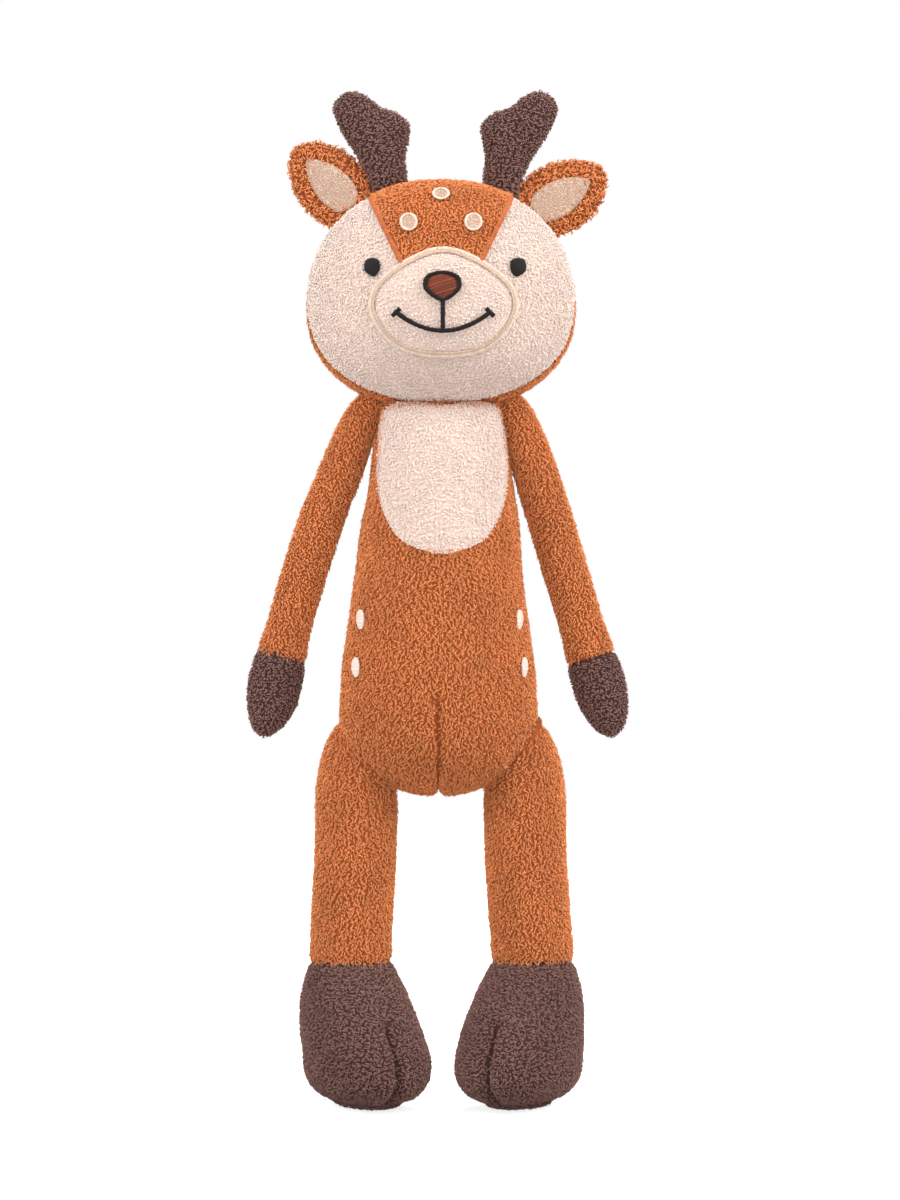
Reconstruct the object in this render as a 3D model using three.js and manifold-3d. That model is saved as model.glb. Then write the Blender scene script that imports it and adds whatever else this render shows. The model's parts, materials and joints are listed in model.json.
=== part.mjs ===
// A standing plush deer with long arms and legs, sewn from short fleece and filled with stuffing.
// Millimetres, +Z up, the deer faces -Y. Left and right are the deer's own, so its left is +X.
// Every size below is a length on the real toy; shares are parts of the length they follow.
import * as THREE from "three";
import { mergeVertices } from "three/addons/utils/BufferGeometryUtils.js";
import Module from "manifold-3d";

const wasm = await Module();
wasm.setup();

// Fabric, thread and fits
const fleece_thickness = 2.4;
const patch_thickness = 1.0;
const thread_height = 0.8;
const border_height = 1.5;
const sewing_gap = 0.3;
const filling_gap = 0.42;
const patch_gap = 0.6;
const inlay_gap = 0.45;
const swivel_gap = 0.4;
const overrun = 60;
const block_reach = 1000;
const weld = 0.0005;

// Legs and hooves
const leg_length = 149.4;
const leg_radius = 16.2;
const leg_crown_above_hip = 2.6;
const leg_crown_height = 34;
const foot_length = 66;
const foot_width = 47;
const hoof_height = 56;
const sole_thickness = 2.2;
const floor_cut = 0.5;
const foot_turn_in = THREE.MathUtils.degToRad(24);
const hip_overlap = 6.2;

// Torso
const torso_half_width = 39.2;
const torso_drop = 29.7;
const torso_rise = 120.6;
const bib_half_width = 25.2;
const bib_height = 60;
const bib_top_below_crown = 1.5;
const flank_spot_width = 7.2;
const flank_spot_height = 8;
const flank_spot_low = 21;
const flank_spot_pitch = 18.6;
const flank_spot_turn = THREE.MathUtils.degToRad(57);

// Neck and head
const neck_radius = 13;
const neck_above_torso = 2;
const head_above_torso = 3.4;
const head_half_width = 52.8;
const head_half_depth = 38.5;
const head_height = 86.6;
const face_seam_forward = 7;
const face_seam_tilt = THREE.MathUtils.degToRad(8);

// Face
const muzzle_half_width = 28.3;
const muzzle_height = 40.5;
const muzzle_above_chin = 19;
const muzzle_border_width = 2;
const nose_width = 15;
const nose_height = 11;
const nose_above_muzzle_foot = 20.8;
const nose_swell = 2.2;
const nose_edge_width = 1.4;
const mouth_half_width = 18;
const mouth_rise = 7;
const mouth_above_muzzle_foot = 9.4;
const mouth_thread_width = 1.8;
const mouth_tick_length = 4.6;
const eye_width = 6.3;
const eye_height = 7;
const eye_spread = 28;
const eye_above_chin = 52.8;
const forehead_foot_half_width = 14.4;
const forehead_brow_half_width = 26.4;
const forehead_brow_above_chin = 80;
const forehead_foot_above_chin = 54.5;
const forehead_edge_width = 1.9;
const forehead_tuck = 10;
const forehead_edge_stop = 9;
const forehead_spot_size = 6.8;
const forehead_spot_spread = 12.4;
const forehead_spot_above_chin = 69.8;
const forehead_top_spot_above_chin = 80.6;

// Antlers
const antler_height = 41;
const antler_width = 31;
const antler_half_thickness = 6.8;
const antler_spread = 20.6;
const antler_foot_depth = 4.5;

// Ears
const ear_length = 33;
const ear_half_width = 14.8;
const ear_half_thickness = 3.4;
const ear_root_half_width = 11.5;
const ear_above_chin = 74.1;
const ear_inlay_length = 24;
const ear_inlay_half_width = 6.2;
const ear_lean = { left: THREE.MathUtils.degToRad(18), right: THREE.MathUtils.degToRad(2) };

// Arms
const arm_length = 124.7;
const arm_radius = 9.3;
const hand_radius = 10.8;
const arm_spread = THREE.MathUtils.degToRad(16.6);
const shoulder_below_crown = 8;
const shoulder_stand_off = 1.1;
const shoulder_pad_thickness = 1;
const shoulder_pad_half_angle = THREE.MathUtils.degToRad(24);

// Share tables. Torso: height, width, depth. Foot: height, middle forward, length, width.
const torso_section_shares = [
  [0, 1, 1],
  [0.155, 0.975, 1],
  [0.31, 0.911, 0.97],
  [0.465, 0.847, 0.93],
  [0.62, 0.8, 0.88],
  [0.776, 0.717, 0.81],
  [0.87, 0.685, 0.75],
  [0.935, 0.63, 0.67],
  [0.975, 0.46, 0.48],
  [1, 0, 0],
];
const foot_section_shares = [
  [0, 0.158, 0.445, 0.413],
  [0.105, 0.166, 0.49, 0.477],
  [0.263, 0.169, 0.5, 0.5],
  [0.44, 0.154, 0.48, 0.496],
  [0.614, 0.121, 0.43, 0.472],
  [0.79, 0.068, 0.354, 0.432],
  [0.912, 0.027, 0.29, 0.381],
];
// Arm: place along the arm, then the radius as a share of the arm's, and of the hand's past the cuff.
const sleeve_section_shares = [[0.2, 0.98], [0.45, 0.98], [0.68, 1.0]];
const hand_section_shares = [
  [0.76, 0.97], [0.83, 1], [0.88, 0.95], [0.925, 0.81], [0.965, 0.57], [0.99, 0.27],
];
const cuff_share = 0.73;
const head_widest_share = 0.43;
const head_roundness = 2.2;
// Outlines, across and up, of half the width and the height; the mirrored half is added.
const muzzle_outline_shares = [
  [0, 0], [0.42, 0.03], [0.8, 0.17], [0.985, 0.42], [0.93, 0.64], [0.7, 0.84], [0.36, 0.955], [0, 1],
];
const nose_outline_shares = [[0, 0], [0.36, 0.16], [0.8, 0.42], [0.98, 0.72], [0.6, 0.97], [0, 1]];
const bib_outline_shares = [
  [0, 0], [0.62, 0.075], [0.9, 0.26], [1, 0.45], [0.99, 0.7], [0.88, 1], [0, 1.02],
];
const ear_outline_shares = [[0.5, -0.3], [0.85, 0], [1, 0.32], [0.88, 0.62], [0.5, 0.88], [0, 1]];
const ear_inlay_shares = [[0, 0], [0.7, 0.1], [1, 0.38], [0.72, 0.75], [0, 1]];
// Antler outline, of its width outwards and its height upwards, from the foot's outer corner round.
const antler_outline_shares = [
  [0.24, -0.05], [0.39, 0.24], [0.58, 0.46], [0.72, 0.65], [0.77, 0.82], [0.57, 0.95], [0.34, 0.9],
  [0.14, 0.78], [-0.06, 0.74], [-0.23, 0.63], [-0.23, 0.5], [-0.18, 0.3], [-0.21, 0.08], [-0.2, -0.22],
  [0.22, -0.22],
];
const antler_middle_shares = [0.16, 0.49];
const pillow_ring_shares = { skin: [0.84, 0.5], core: [0.6] };
const pillow_fullness = 3;
const ear_middle_share = 0.35;
const stitch_shoulder_share = 0.8;
const sides = { left: 1, right: -1 };

// Counts of facets
const skin = { torso: [24, 11], head: [28, 14], leg: 16, arm: 12 };
const core = { torso: [16, 8], head: [18, 9], leg: 12, arm: 9 };
const outline_steps = 22;
const crown_steps = 4;
const saddle_steps = 24;
const mouth_steps = 6;
const pad_steps = 3;
const spot_around = 12;
const pad_around = 14;
const ear_root_facets = [14, 8];
const ball_facets = [16, 10];

// Derived places
const hip_height = leg_length;
const hip_spread = torso_half_width - hip_overlap;
const torso_top = hip_height + torso_rise;
const neck_height = torso_top + neck_above_torso;
const chin_height = torso_top + head_above_torso;
const head_top = chin_height + head_height;
const shoulder_height = torso_top - shoulder_below_crown;

// Materials, one for each fabric and thread
function fabric(color, roughness = 0.95) {
  return new THREE.MeshStandardMaterial({ color, roughness, metalness: 0 });
}
const rust_fleece = fabric(0xc0713f);
const cream_fleece = fabric(0xefdccd);
const brown_fleece = fabric(0x5e4640);
const stuffing_fibre = fabric(0xf2f0ea);
const pale_satin = fabric(0xe0c4b2, 0.5);
const beige_thread = fabric(0xc9a591, 0.6);
const white_thread = fabric(0xf4e6da, 0.6);
const brown_satin = fabric(0x743e2b, 0.4);
const black_thread = fabric(0x2a2120, 0.6);
const orange_thread = fabric(0xa85a2c, 0.6);

// Solids
function facingOut(geometry) {
  const p = geometry.getAttribute("position");
  const index = geometry.index.array;
  const corner = (i) => new THREE.Vector3().fromBufferAttribute(p, i);
  let volume = 0;
  for (let i = 0; i < index.length; i += 3) {
    volume += corner(index[i]).dot(corner(index[i + 1]).cross(corner(index[i + 2])));
  }
  if (volume > 0) return geometry;
  for (let i = 0; i < index.length; i += 3) {
    const second = index[i + 1];
    index[i + 1] = index[i + 2];
    index[i + 2] = second;
  }
  return geometry;
}

function solid(geometry) {
  const bare = geometry.clone();
  bare.deleteAttribute("normal");
  bare.deleteAttribute("uv");
  const merged = facingOut(mergeVertices(bare, weld));
  return new wasm.Manifold(
    new wasm.Mesh({
      numProp: 3,
      vertProperties: merged.attributes.position.array,
      triVerts: new Uint32Array(merged.index.array),
    }),
  );
}

function geometryOf(made) {
  const mesh = made.getMesh();
  const geometry = new THREE.BufferGeometry();
  geometry.setAttribute("position", new THREE.BufferAttribute(new Float32Array(mesh.vertProperties), 3));
  geometry.setIndex(new THREE.BufferAttribute(new Uint32Array(mesh.triVerts), 1));
  geometry.computeVertexNormals();
  return geometry;
}

// A closed form from oval rings stacked between two end points, the first and last of the list.
function ringForm(rings, around, roundness = 2) {
  const positions = [];
  const index = [];
  const power = 2 / roundness;
  const bent = (v) => Math.sign(v) * Math.abs(v) ** power;
  const inner = rings.slice(1, -1);
  for (const ring of inner) {
    for (let i = 0; i < around; i++) {
      const turn = (2 * Math.PI * i) / around;
      const x = ring.x + ring.halfX * bent(Math.cos(turn));
      const y = ring.y + ring.halfY * bent(Math.sin(turn));
      positions.push(x, y, ring.z);
    }
  }
  const low = inner.length * around;
  const high = low + 1;
  positions.push(rings[0].x, rings[0].y, rings[0].z);
  positions.push(rings.at(-1).x, rings.at(-1).y, rings.at(-1).z);
  for (let i = 0; i < around; i++) {
    const next = (i + 1) % around;
    index.push(low, next, i);
    const last = (inner.length - 1) * around;
    index.push(high, last + i, last + next);
    for (let k = 0; k + 1 < inner.length; k++) {
      const a = k * around;
      const b = a + around;
      index.push(a + i, a + next, b + next, a + i, b + next, b + i);
    }
  }
  const geometry = new THREE.BufferGeometry();
  geometry.setAttribute("position", new THREE.Float32BufferAttribute(positions, 3));
  geometry.setIndex(index);
  return facingOut(geometry);
}

// The same rings moved out or in by one amount; rings slimmer than the slim size move in proportion.
function grown(rings, amount, slim) {
  const low = rings[0].z;
  const high = rings.at(-1).z;
  const middle = (low + high) / 2;
  const stretch = 1 + (2 * amount) / (high - low);
  return rings.map((ring) => ({
    x: ring.x,
    y: ring.y,
    z: middle + (ring.z - middle) * stretch,
    halfX: ring.halfX + amount * Math.min(1, ring.halfX / slim),
    halfY: ring.halfY + amount * Math.min(1, ring.halfY / slim),
  }));
}

function ringAt(z, halfX, halfY, y = 0) {
  return { x: 0, y, z, halfX, halfY };
}

// An outline of shares made a closed curve in real sizes, mirrored over its middle.
function mirroredOutline(shares, halfWidth, height) {
  const right = shares.map(([across, up]) => new THREE.Vector3(across * halfWidth, up * height, 0));
  const left = right.filter((p) => p.x > 0).reverse().map((p) => new THREE.Vector3(-p.x, p.y, 0));
  return smoothOutline([...right, ...left]);
}

function smoothOutline(points) {
  const curve = new THREE.CatmullRomCurve3(points, true, "centripetal");
  return curve.getSpacedPoints(outline_steps).slice(0, -1).map((p) => new THREE.Vector2(p.x, p.y));
}

// A prism through the whole toy along Y, from an outline given across and up.
function prism(outline, x, z, fromY, toY) {
  const shape = new THREE.Shape(outline);
  const geometry = new THREE.ExtrudeGeometry(shape, { depth: toY - fromY, bevelEnabled: false });
  geometry.rotateX(Math.PI / 2);
  geometry.translate(x, toY, z);
  return solid(geometry);
}

function frontPrism(outline, x, z) {
  return prism(outline, x, z, -overrun, 0);
}

function spreadOutline(outline, amount) {
  const box = new THREE.Box2().setFromPoints(outline);
  const middle = box.getCenter(new THREE.Vector2());
  const size = box.getSize(new THREE.Vector2());
  return outline.map(
    (p) =>
      new THREE.Vector2(
        middle.x + (p.x - middle.x) * (1 + (2 * amount) / size.x),
        middle.y + (p.y - middle.y) * (1 + (2 * amount) / size.y),
      ),
  );
}

// The half of space on the side that the direction points to, as a large block.
function halfSpace(point, direction) {
  const geometry = new THREE.BoxGeometry(block_reach, block_reach, block_reach);
  geometry.translate(0, 0, block_reach / 2);
  const toward = direction.clone().normalize();
  const turn = new THREE.Quaternion().setFromUnitVectors(new THREE.Vector3(0, 0, 1), toward);
  geometry.applyQuaternion(turn).translate(point.x, point.y, point.z);
  return solid(geometry);
}

function above(z) {
  return halfSpace(new THREE.Vector3(0, 0, z), new THREE.Vector3(0, 0, 1));
}

function below(z) {
  return halfSpace(new THREE.Vector3(0, 0, z), new THREE.Vector3(0, 0, -1));
}

// A finished solid turned about the Y axis and carried to a place.
function moved(made, turn, place) {
  const matrix = new THREE.Matrix4().makeRotationY(turn).setPosition(place);
  return made.transform(matrix.elements);
}

function ball(radius, centre) {
  const geometry = new THREE.SphereGeometry(radius, ...ball_facets);
  geometry.rotateX(Math.PI / 2).translate(centre.x, centre.y, centre.z);
  return solid(geometry);
}

// Forms
function headRings(steps) {
  const rings = [];
  for (let i = 0; i <= steps; i++) {
    const share = (1 - Math.cos((Math.PI * i) / steps)) / 2;
    const side = share < head_widest_share ? head_widest_share : 1 - head_widest_share;
    const off = Math.abs(share - head_widest_share) / side;
    const size = Math.max(0, 1 - off ** head_roundness) ** (1 / head_roundness);
    rings.push(ringAt(chin_height + share * head_height, size * head_half_width, size * head_half_depth));
  }
  return rings;
}

function headForm(amount, [around, steps] = skin.head) {
  return solid(ringForm(grown(headRings(steps), amount, head_half_depth), around, head_roundness));
}

function torsoRings(steps) {
  const rings = [];
  for (let i = 0; i < crown_steps; i++) {
    const turn = (Math.PI / 2) * (i / crown_steps);
    const size = Math.sin(turn);
    rings.push(ringAt(hip_height - torso_drop * Math.cos(turn), size * torso_half_width, size * torso_drop));
  }
  const points = torso_section_shares.map(([up, across, deep]) => new THREE.Vector3(across, deep, up));
  const curve = new THREE.CatmullRomCurve3(points, false, "centripetal");
  for (let i = 0; i <= steps; i++) {
    const p = curve.getPoint(i / steps);
    rings.push(ringAt(hip_height + torso_rise * p.z, torso_half_width * p.x, torso_drop * p.y));
  }
  return rings;
}

function torsoForm(amount, [around, steps] = skin.torso) {
  return solid(ringForm(grown(torsoRings(steps), amount, torso_drop), around));
}

function torsoHalfWidthAt(z) {
  const rings = torsoRings(skin.torso[1]);
  const upper = rings.findIndex((ring) => ring.z > z);
  const [a, b] = [rings[upper - 1], rings[upper]];
  return a.halfX + ((b.halfX - a.halfX) * (z - a.z)) / (b.z - a.z);
}

function legRings() {
  const rings = [];
  const hoof = hoof_height + floor_cut;
  const first = foot_section_shares[0];
  rings.push(ringAt(-floor_cut, 0, 0, -first[1] * foot_length));
  for (const [up, forward, long, wide] of foot_section_shares) {
    rings.push(ringAt(up * hoof - floor_cut, wide * foot_width, long * foot_length, -forward * foot_length));
  }
  const crown_foot = hip_height + leg_crown_above_hip - leg_crown_height;
  rings.push(ringAt(hoof_height, leg_radius, leg_radius));
  rings.push(ringAt((hoof_height + crown_foot) / 2, leg_radius, leg_radius));
  for (let i = 0; i <= crown_steps; i++) {
    const turn = (Math.PI / 2) * (i / crown_steps);
    const size = i === crown_steps ? 0 : Math.cos(turn);
    rings.push(ringAt(crown_foot + leg_crown_height * Math.sin(turn), size * leg_radius, size * leg_radius));
  }
  return rings;
}

function legForm(side, amount, around) {
  const geometry = ringForm(grown(legRings(), amount, leg_radius), around);
  geometry.rotateZ(-side * foot_turn_in).translate(side * hip_spread, 0, 0);
  return solid(geometry);
}

function armRings() {
  const rings = [ringAt(-arm_length, 0, 0)];
  for (const [along, size] of hand_section_shares.toReversed()) {
    rings.push(ringAt(-along * arm_length, size * hand_radius, size * arm_radius));
  }
  for (const [along, size] of sleeve_section_shares.toReversed()) {
    rings.push(ringAt(-along * arm_length, size * arm_radius, size * arm_radius));
  }
  for (let i = 0; i <= crown_steps; i++) {
    const turn = (Math.PI / 2) * (i / crown_steps);
    const size = i === crown_steps ? 0 : Math.cos(turn);
    rings.push(ringAt(arm_radius * Math.sin(turn), size * arm_radius, size * arm_radius));
  }
  return rings;
}

// A pillow: an outline swollen to a half thickness at its middle, thin at its edge.
function pillow(outline, middle, halfThickness, ringShares = pillow_ring_shares.skin) {
  const count = outline.length;
  const positions = [];
  const index = [];
  const ring = (share, side) => {
    const start = positions.length / 3;
    const rise = side * halfThickness * Math.sqrt(1 - share ** pillow_fullness);
    for (const p of outline) {
      positions.push(middle.x + (p.x - middle.x) * share, rise, middle.y + (p.y - middle.y) * share);
    }
    return start;
  };
  const edge = ring(1, 0);
  for (const side of [-1, 1]) {
    let outer = edge;
    for (const share of ringShares) {
      const inner = ring(share, side);
      for (let i = 0; i < count; i++) {
        const next = (i + 1) % count;
        const quad = [outer + i, outer + next, inner + next, outer + i, inner + next, inner + i];
        index.push(...(side < 0 ? quad : quad.reverse()));
      }
      outer = inner;
    }
    const pole = positions.length / 3;
    positions.push(middle.x, side * halfThickness, middle.y);
    for (let i = 0; i < count; i++) {
      const next = (i + 1) % count;
      index.push(...(side < 0 ? [outer + i, outer + next, pole] : [pole, outer + next, outer + i]));
    }
  }
  const geometry = new THREE.BufferGeometry();
  geometry.setAttribute("position", new THREE.Float32BufferAttribute(positions, 3));
  geometry.setIndex(index);
  return facingOut(geometry);
}

// A low round-edged disc that lies on a form's facet, found along a ray from inside the form.
function disc(form, from, direction, width, height, thick, gap) {
  const ray = new THREE.Raycaster(from, direction.clone().normalize());
  const target = new THREE.Mesh(geometryOf(form), new THREE.MeshBasicMaterial({ side: THREE.DoubleSide }));
  const hit = ray.intersectObject(target).at(-1);
  const profile = [
    new THREE.Vector2(0, 0),
    new THREE.Vector2(1, 0),
    new THREE.Vector2(stitch_shoulder_share, thick * stitch_shoulder_share),
    new THREE.Vector2(0, thick),
  ];
  const geometry = new THREE.LatheGeometry(profile, spot_around);
  geometry.scale(width / 2, 1, height / 2);
  const out = hit.face.normal.clone();
  const up = new THREE.Vector3(0, 0, 1).addScaledVector(out, -out.z).normalize();
  const across = new THREE.Vector3().crossVectors(out, up);
  geometry.applyMatrix4(new THREE.Matrix4().makeBasis(across, out, up));
  const seat = hit.point.clone().addScaledVector(out, gap);
  geometry.translate(seat.x, seat.y, seat.z);
  return solid(geometry);
}

const toy = new THREE.Group();

function add(name, made, material) {
  const mesh = new THREE.Mesh(geometryOf(made), material);
  mesh.name = name;
  toy.add(mesh);
}

// Joint centres
const neck_centre = new THREE.Vector3(0, 0, neck_height);
function shoulderCentre(side) {
  const out = torsoHalfWidthAt(shoulder_height) + shoulder_stand_off + arm_radius;
  return new THREE.Vector3(side * out, 0, shoulder_height);
}

const neck_socket = ball(neck_radius + swivel_gap, neck_centre);
const shoulder_pad_reach = arm_radius + swivel_gap + shoulder_pad_thickness;
const shoulder_socket_radius = shoulder_pad_reach + sewing_gap;
const left_socket = ball(shoulder_socket_radius, shoulderCentre(sides.left));
const right_socket = ball(shoulder_socket_radius, shoulderCentre(sides.right));
const middle_plane_left = halfSpace(new THREE.Vector3(sewing_gap / 2, 0, 0), new THREE.Vector3(1, 0, 0));
const middle_plane_right = halfSpace(new THREE.Vector3(-sewing_gap / 2, 0, 0), new THREE.Vector3(-1, 0, 0));

// Torso: a filled core, a front panel and two back panels
function addTorso() {
  const socketed = (made) => made.subtract(neck_socket).subtract(left_socket).subtract(right_socket);
  const outer = torsoForm(0);
  const shell = socketed(outer.subtract(torsoForm(-fleece_thickness, core.torso)));
  const front = halfSpace(new THREE.Vector3(0, -sewing_gap / 2, 0), new THREE.Vector3(0, -1, 0));
  const rear = halfSpace(new THREE.Vector3(0, sewing_gap / 2, 0), new THREE.Vector3(0, 1, 0));
  const filled = torsoForm(-fleece_thickness - filling_gap, core.torso);
  add("torso_stuffing", socketed(filled), stuffing_fibre);
  add("torso_front_panel", shell.intersect(front), rust_fleece);
  add("torso_back_left_panel", shell.intersect(rear).intersect(middle_plane_left), rust_fleece);
  add("torso_back_right_panel", shell.intersect(rear).intersect(middle_plane_right), rust_fleece);

  const layer = torsoForm(sewing_gap + patch_thickness).subtract(torsoForm(sewing_gap));
  const bib_top = torso_top - bib_top_below_crown;
  const bib_outline = mirroredOutline(bib_outline_shares, bib_half_width, bib_height);
  const bib = frontPrism(bib_outline, 0, bib_top - bib_height);
  add("chest_bib", socketed(layer.intersect(bib)), cream_fleece);

  for (const [name, side] of Object.entries(sides)) {
    for (const [step, place] of ["lower", "upper"].entries()) {
      const from = new THREE.Vector3(0, 0, hip_height + flank_spot_low + step * flank_spot_pitch);
      const toward = new THREE.Vector3(side * Math.sin(flank_spot_turn), -Math.cos(flank_spot_turn), 0);
      const spot = disc(outer, from, toward, flank_spot_width, flank_spot_height, thread_height, sewing_gap);
      add(`flank_spot_${place}_${name}`, spot, white_thread);
    }
  }
}

// Neck: the ball of stuffing between torso and head, which both close round
function addNeck() {
  add("neck_stuffing", ball(neck_radius, neck_centre), stuffing_fibre);
}

// Head: a filled core, one face panel and two back panels
function addHead() {
  const outer = headForm(0);
  const shell = outer.subtract(headForm(-fleece_thickness, core.head)).subtract(neck_socket);
  const seam_point = new THREE.Vector3(0, -face_seam_forward, chin_height);
  const forward = new THREE.Vector3(0, -Math.cos(face_seam_tilt), Math.sin(face_seam_tilt));
  const backward = forward.clone().negate();
  const face = halfSpace(seam_point.clone().addScaledVector(forward, sewing_gap / 2), forward);
  const back = halfSpace(seam_point.clone().addScaledVector(backward, sewing_gap / 2), backward);
  const filled = headForm(-fleece_thickness - filling_gap, core.head);
  add("head_stuffing", filled.subtract(neck_socket), stuffing_fibre);
  add("face_panel", shell.intersect(face), cream_fleece);
  add("head_back_left_panel", shell.intersect(back).intersect(middle_plane_left), rust_fleece);
  add("head_back_right_panel", shell.intersect(back).intersect(middle_plane_right), rust_fleece);
  return { outer, face };
}

function stroke(points, width) {
  const side = points.map((p, i) => {
    const a = points[Math.max(0, i - 1)];
    const b = points[Math.min(points.length - 1, i + 1)];
    return new THREE.Vector2(-(b.y - a.y), b.x - a.x).normalize().multiplyScalar(width / 2);
  });
  const upper = points.map((p, i) => p.clone().add(side[i]));
  const lower = points.map((p, i) => p.clone().sub(side[i])).reverse();
  return [...upper, ...lower];
}

function addFace({ outer, face }) {
  const on_cover = headForm(sewing_gap);
  const patch_top = sewing_gap + patch_thickness;
  const on_patch = headForm(patch_top + sewing_gap);
  const patch_layer = headForm(patch_top).subtract(on_cover);
  const edge_layer = headForm(sewing_gap + border_height).subtract(on_cover);
  const stitch_layer = headForm(patch_top + sewing_gap + thread_height).subtract(on_patch);
  const nose_layer = headForm(patch_top + sewing_gap + nose_swell).subtract(on_patch);

  const muzzle_foot = chin_height + muzzle_above_chin;
  const muzzle = mirroredOutline(muzzle_outline_shares, muzzle_half_width - muzzle_border_width, muzzle_height);
  const muzzle_prism = frontPrism(muzzle, 0, muzzle_foot);
  const border_inner = frontPrism(spreadOutline(muzzle, sewing_gap), 0, muzzle_foot);
  const border_outer = frontPrism(spreadOutline(muzzle, sewing_gap + muzzle_border_width), 0, muzzle_foot);
  const border_room = frontPrism(spreadOutline(muzzle, patch_gap + muzzle_border_width), 0, muzzle_foot);
  add("muzzle_patch", patch_layer.intersect(muzzle_prism), cream_fleece);
  add("muzzle_border", edge_layer.intersect(border_outer.subtract(border_inner)), beige_thread);

  const nose_inner_width = nose_width - 2 * nose_edge_width;
  const nose_inner_height = nose_height - 2 * nose_edge_width;
  const nose = mirroredOutline(nose_outline_shares, nose_inner_width / 2, nose_inner_height);
  const nose_foot = muzzle_foot + nose_above_muzzle_foot + nose_edge_width;
  const nose_inner = frontPrism(spreadOutline(nose, sewing_gap), 0, nose_foot);
  const nose_outer = frontPrism(spreadOutline(nose, sewing_gap + nose_edge_width), 0, nose_foot);
  add("nose", nose_layer.intersect(frontPrism(nose, 0, nose_foot)), brown_satin);
  add("nose_edging", stitch_layer.intersect(nose_outer.subtract(nose_inner)), black_thread);

  const mouth_foot = muzzle_foot + mouth_above_muzzle_foot;
  const smile = [];
  for (let i = -mouth_steps; i <= mouth_steps; i++) {
    const across = i / mouth_steps;
    smile.push(new THREE.Vector2(across * mouth_half_width, mouth_rise * across ** 2));
  }
  const lip_top = nose_foot - nose_edge_width - patch_gap - mouth_foot;
  const lip = [new THREE.Vector2(0, 0), new THREE.Vector2(0, lip_top)];
  let mouth = frontPrism(stroke(smile, mouth_thread_width), 0, mouth_foot);
  mouth = mouth.add(frontPrism(stroke(lip, mouth_thread_width), 0, mouth_foot));
  for (const side of Object.values(sides)) {
    const end = new THREE.Vector2(side * mouth_half_width, mouth_rise);
    const tick = new THREE.Vector2(side, -1).normalize().multiplyScalar(mouth_tick_length / 2);
    const tick_line = [end.clone().sub(tick), end.clone().add(tick)];
    mouth = mouth.add(frontPrism(stroke(tick_line, mouth_thread_width), 0, mouth_foot));
  }
  add("mouth", stitch_layer.intersect(mouth), black_thread);

  const foot_z = chin_height + forehead_foot_above_chin;
  const brow_z = chin_height + forehead_brow_above_chin;
  const slope = (forehead_brow_half_width - forehead_foot_half_width) / (brow_z - foot_z);
  const wedge_top = head_top + patch_top;
  const wedge = (inset, drop) => {
    const half = (z) => forehead_foot_half_width + slope * (z - foot_z) - inset;
    const low = foot_z - drop;
    return [
      new THREE.Vector2(-half(low), low),
      new THREE.Vector2(half(low), low),
      new THREE.Vector2(half(wedge_top), wedge_top),
      new THREE.Vector2(-half(wedge_top), wedge_top),
    ];
  };
  const wedge_prism = (inset) => prism(wedge(inset, forehead_tuck), 0, 0, -overrun, overrun);
  const front_only = (made) => made.intersect(face).subtract(border_room);
  add("forehead_patch", front_only(patch_layer.intersect(wedge_prism(0))), rust_fleece);
  const band = wedge_prism(-sewing_gap - forehead_edge_width).subtract(wedge_prism(-sewing_gap));
  const strips = front_only(edge_layer.intersect(band));
  const lower_part = strips.intersect(below(head_top - forehead_edge_stop));
  add("forehead_edging_left", lower_part.intersect(middle_plane_left), orange_thread);
  add("forehead_edging_right", lower_part.intersect(middle_plane_right), orange_thread);

  const eye_z = chin_height + eye_above_chin;
  const forward = new THREE.Vector3(0, -1, 0);
  for (const [name, side] of Object.entries(sides)) {
    const from = new THREE.Vector3(side * eye_spread, 0, eye_z);
    const eye = disc(outer, from, forward, eye_width, eye_height, thread_height, sewing_gap);
    add(`eye_${name}`, eye, black_thread);
  }
  const spots = [
    ["left", forehead_spot_spread, forehead_spot_above_chin],
    ["right", -forehead_spot_spread, forehead_spot_above_chin],
    ["top", 0, forehead_top_spot_above_chin],
  ];
  const patch_face = headForm(patch_top);
  for (const [name, x, up] of spots) {
    const from = new THREE.Vector3(x, 0, chin_height + up);
    const size = forehead_spot_size;
    const spot = disc(patch_face, from, forward, size, size, thread_height, sewing_gap);
    add(`forehead_spot_${name}`, spot, white_thread);
  }
}

// Antlers: a brown cover, open where it is sewn down, round its own stuffing
function addAntler(name, side, head_room) {
  const at = ([out, up]) => new THREE.Vector3(side * out * antler_width, up * antler_height, 0);
  const outline = smoothOutline(antler_outline_shares.map(at));
  const { x, y } = at(antler_middle_shares);
  const foot = head_top - antler_foot_depth;
  const place = (amount, rings) => {
    const edge = spreadOutline(outline, amount);
    const geometry = pillow(edge, new THREE.Vector2(x, y), antler_half_thickness + amount, rings);
    return solid(geometry.translate(side * antler_spread, 0, foot)).subtract(head_room);
  };
  const { skin: cover_rings, core: core_rings } = pillow_ring_shares;
  const cover = place(0, cover_rings).subtract(place(-fleece_thickness, core_rings));
  add(`antler_${name}`, cover, brown_fleece);
  const filled = place(-fleece_thickness - sewing_gap, core_rings);
  add(`antler_${name}_stuffing`, filled, stuffing_fibre);
}

// Ears: a front and a back layer with an inlay, hinged on their rounded root
function headSeat(up) {
  const rings = headRings(skin.head[1]);
  const z = chin_height + up;
  const upper = rings.findIndex((ring) => ring.z > z);
  const [a, b] = [rings[upper - 1], rings[upper]];
  const x = a.halfX + ((b.halfX - a.halfX) * (z - a.z)) / (b.z - a.z);
  const normal = new THREE.Vector2(b.z - a.z, a.halfX - b.halfX).normalize();
  return { x, z, normal };
}

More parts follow.
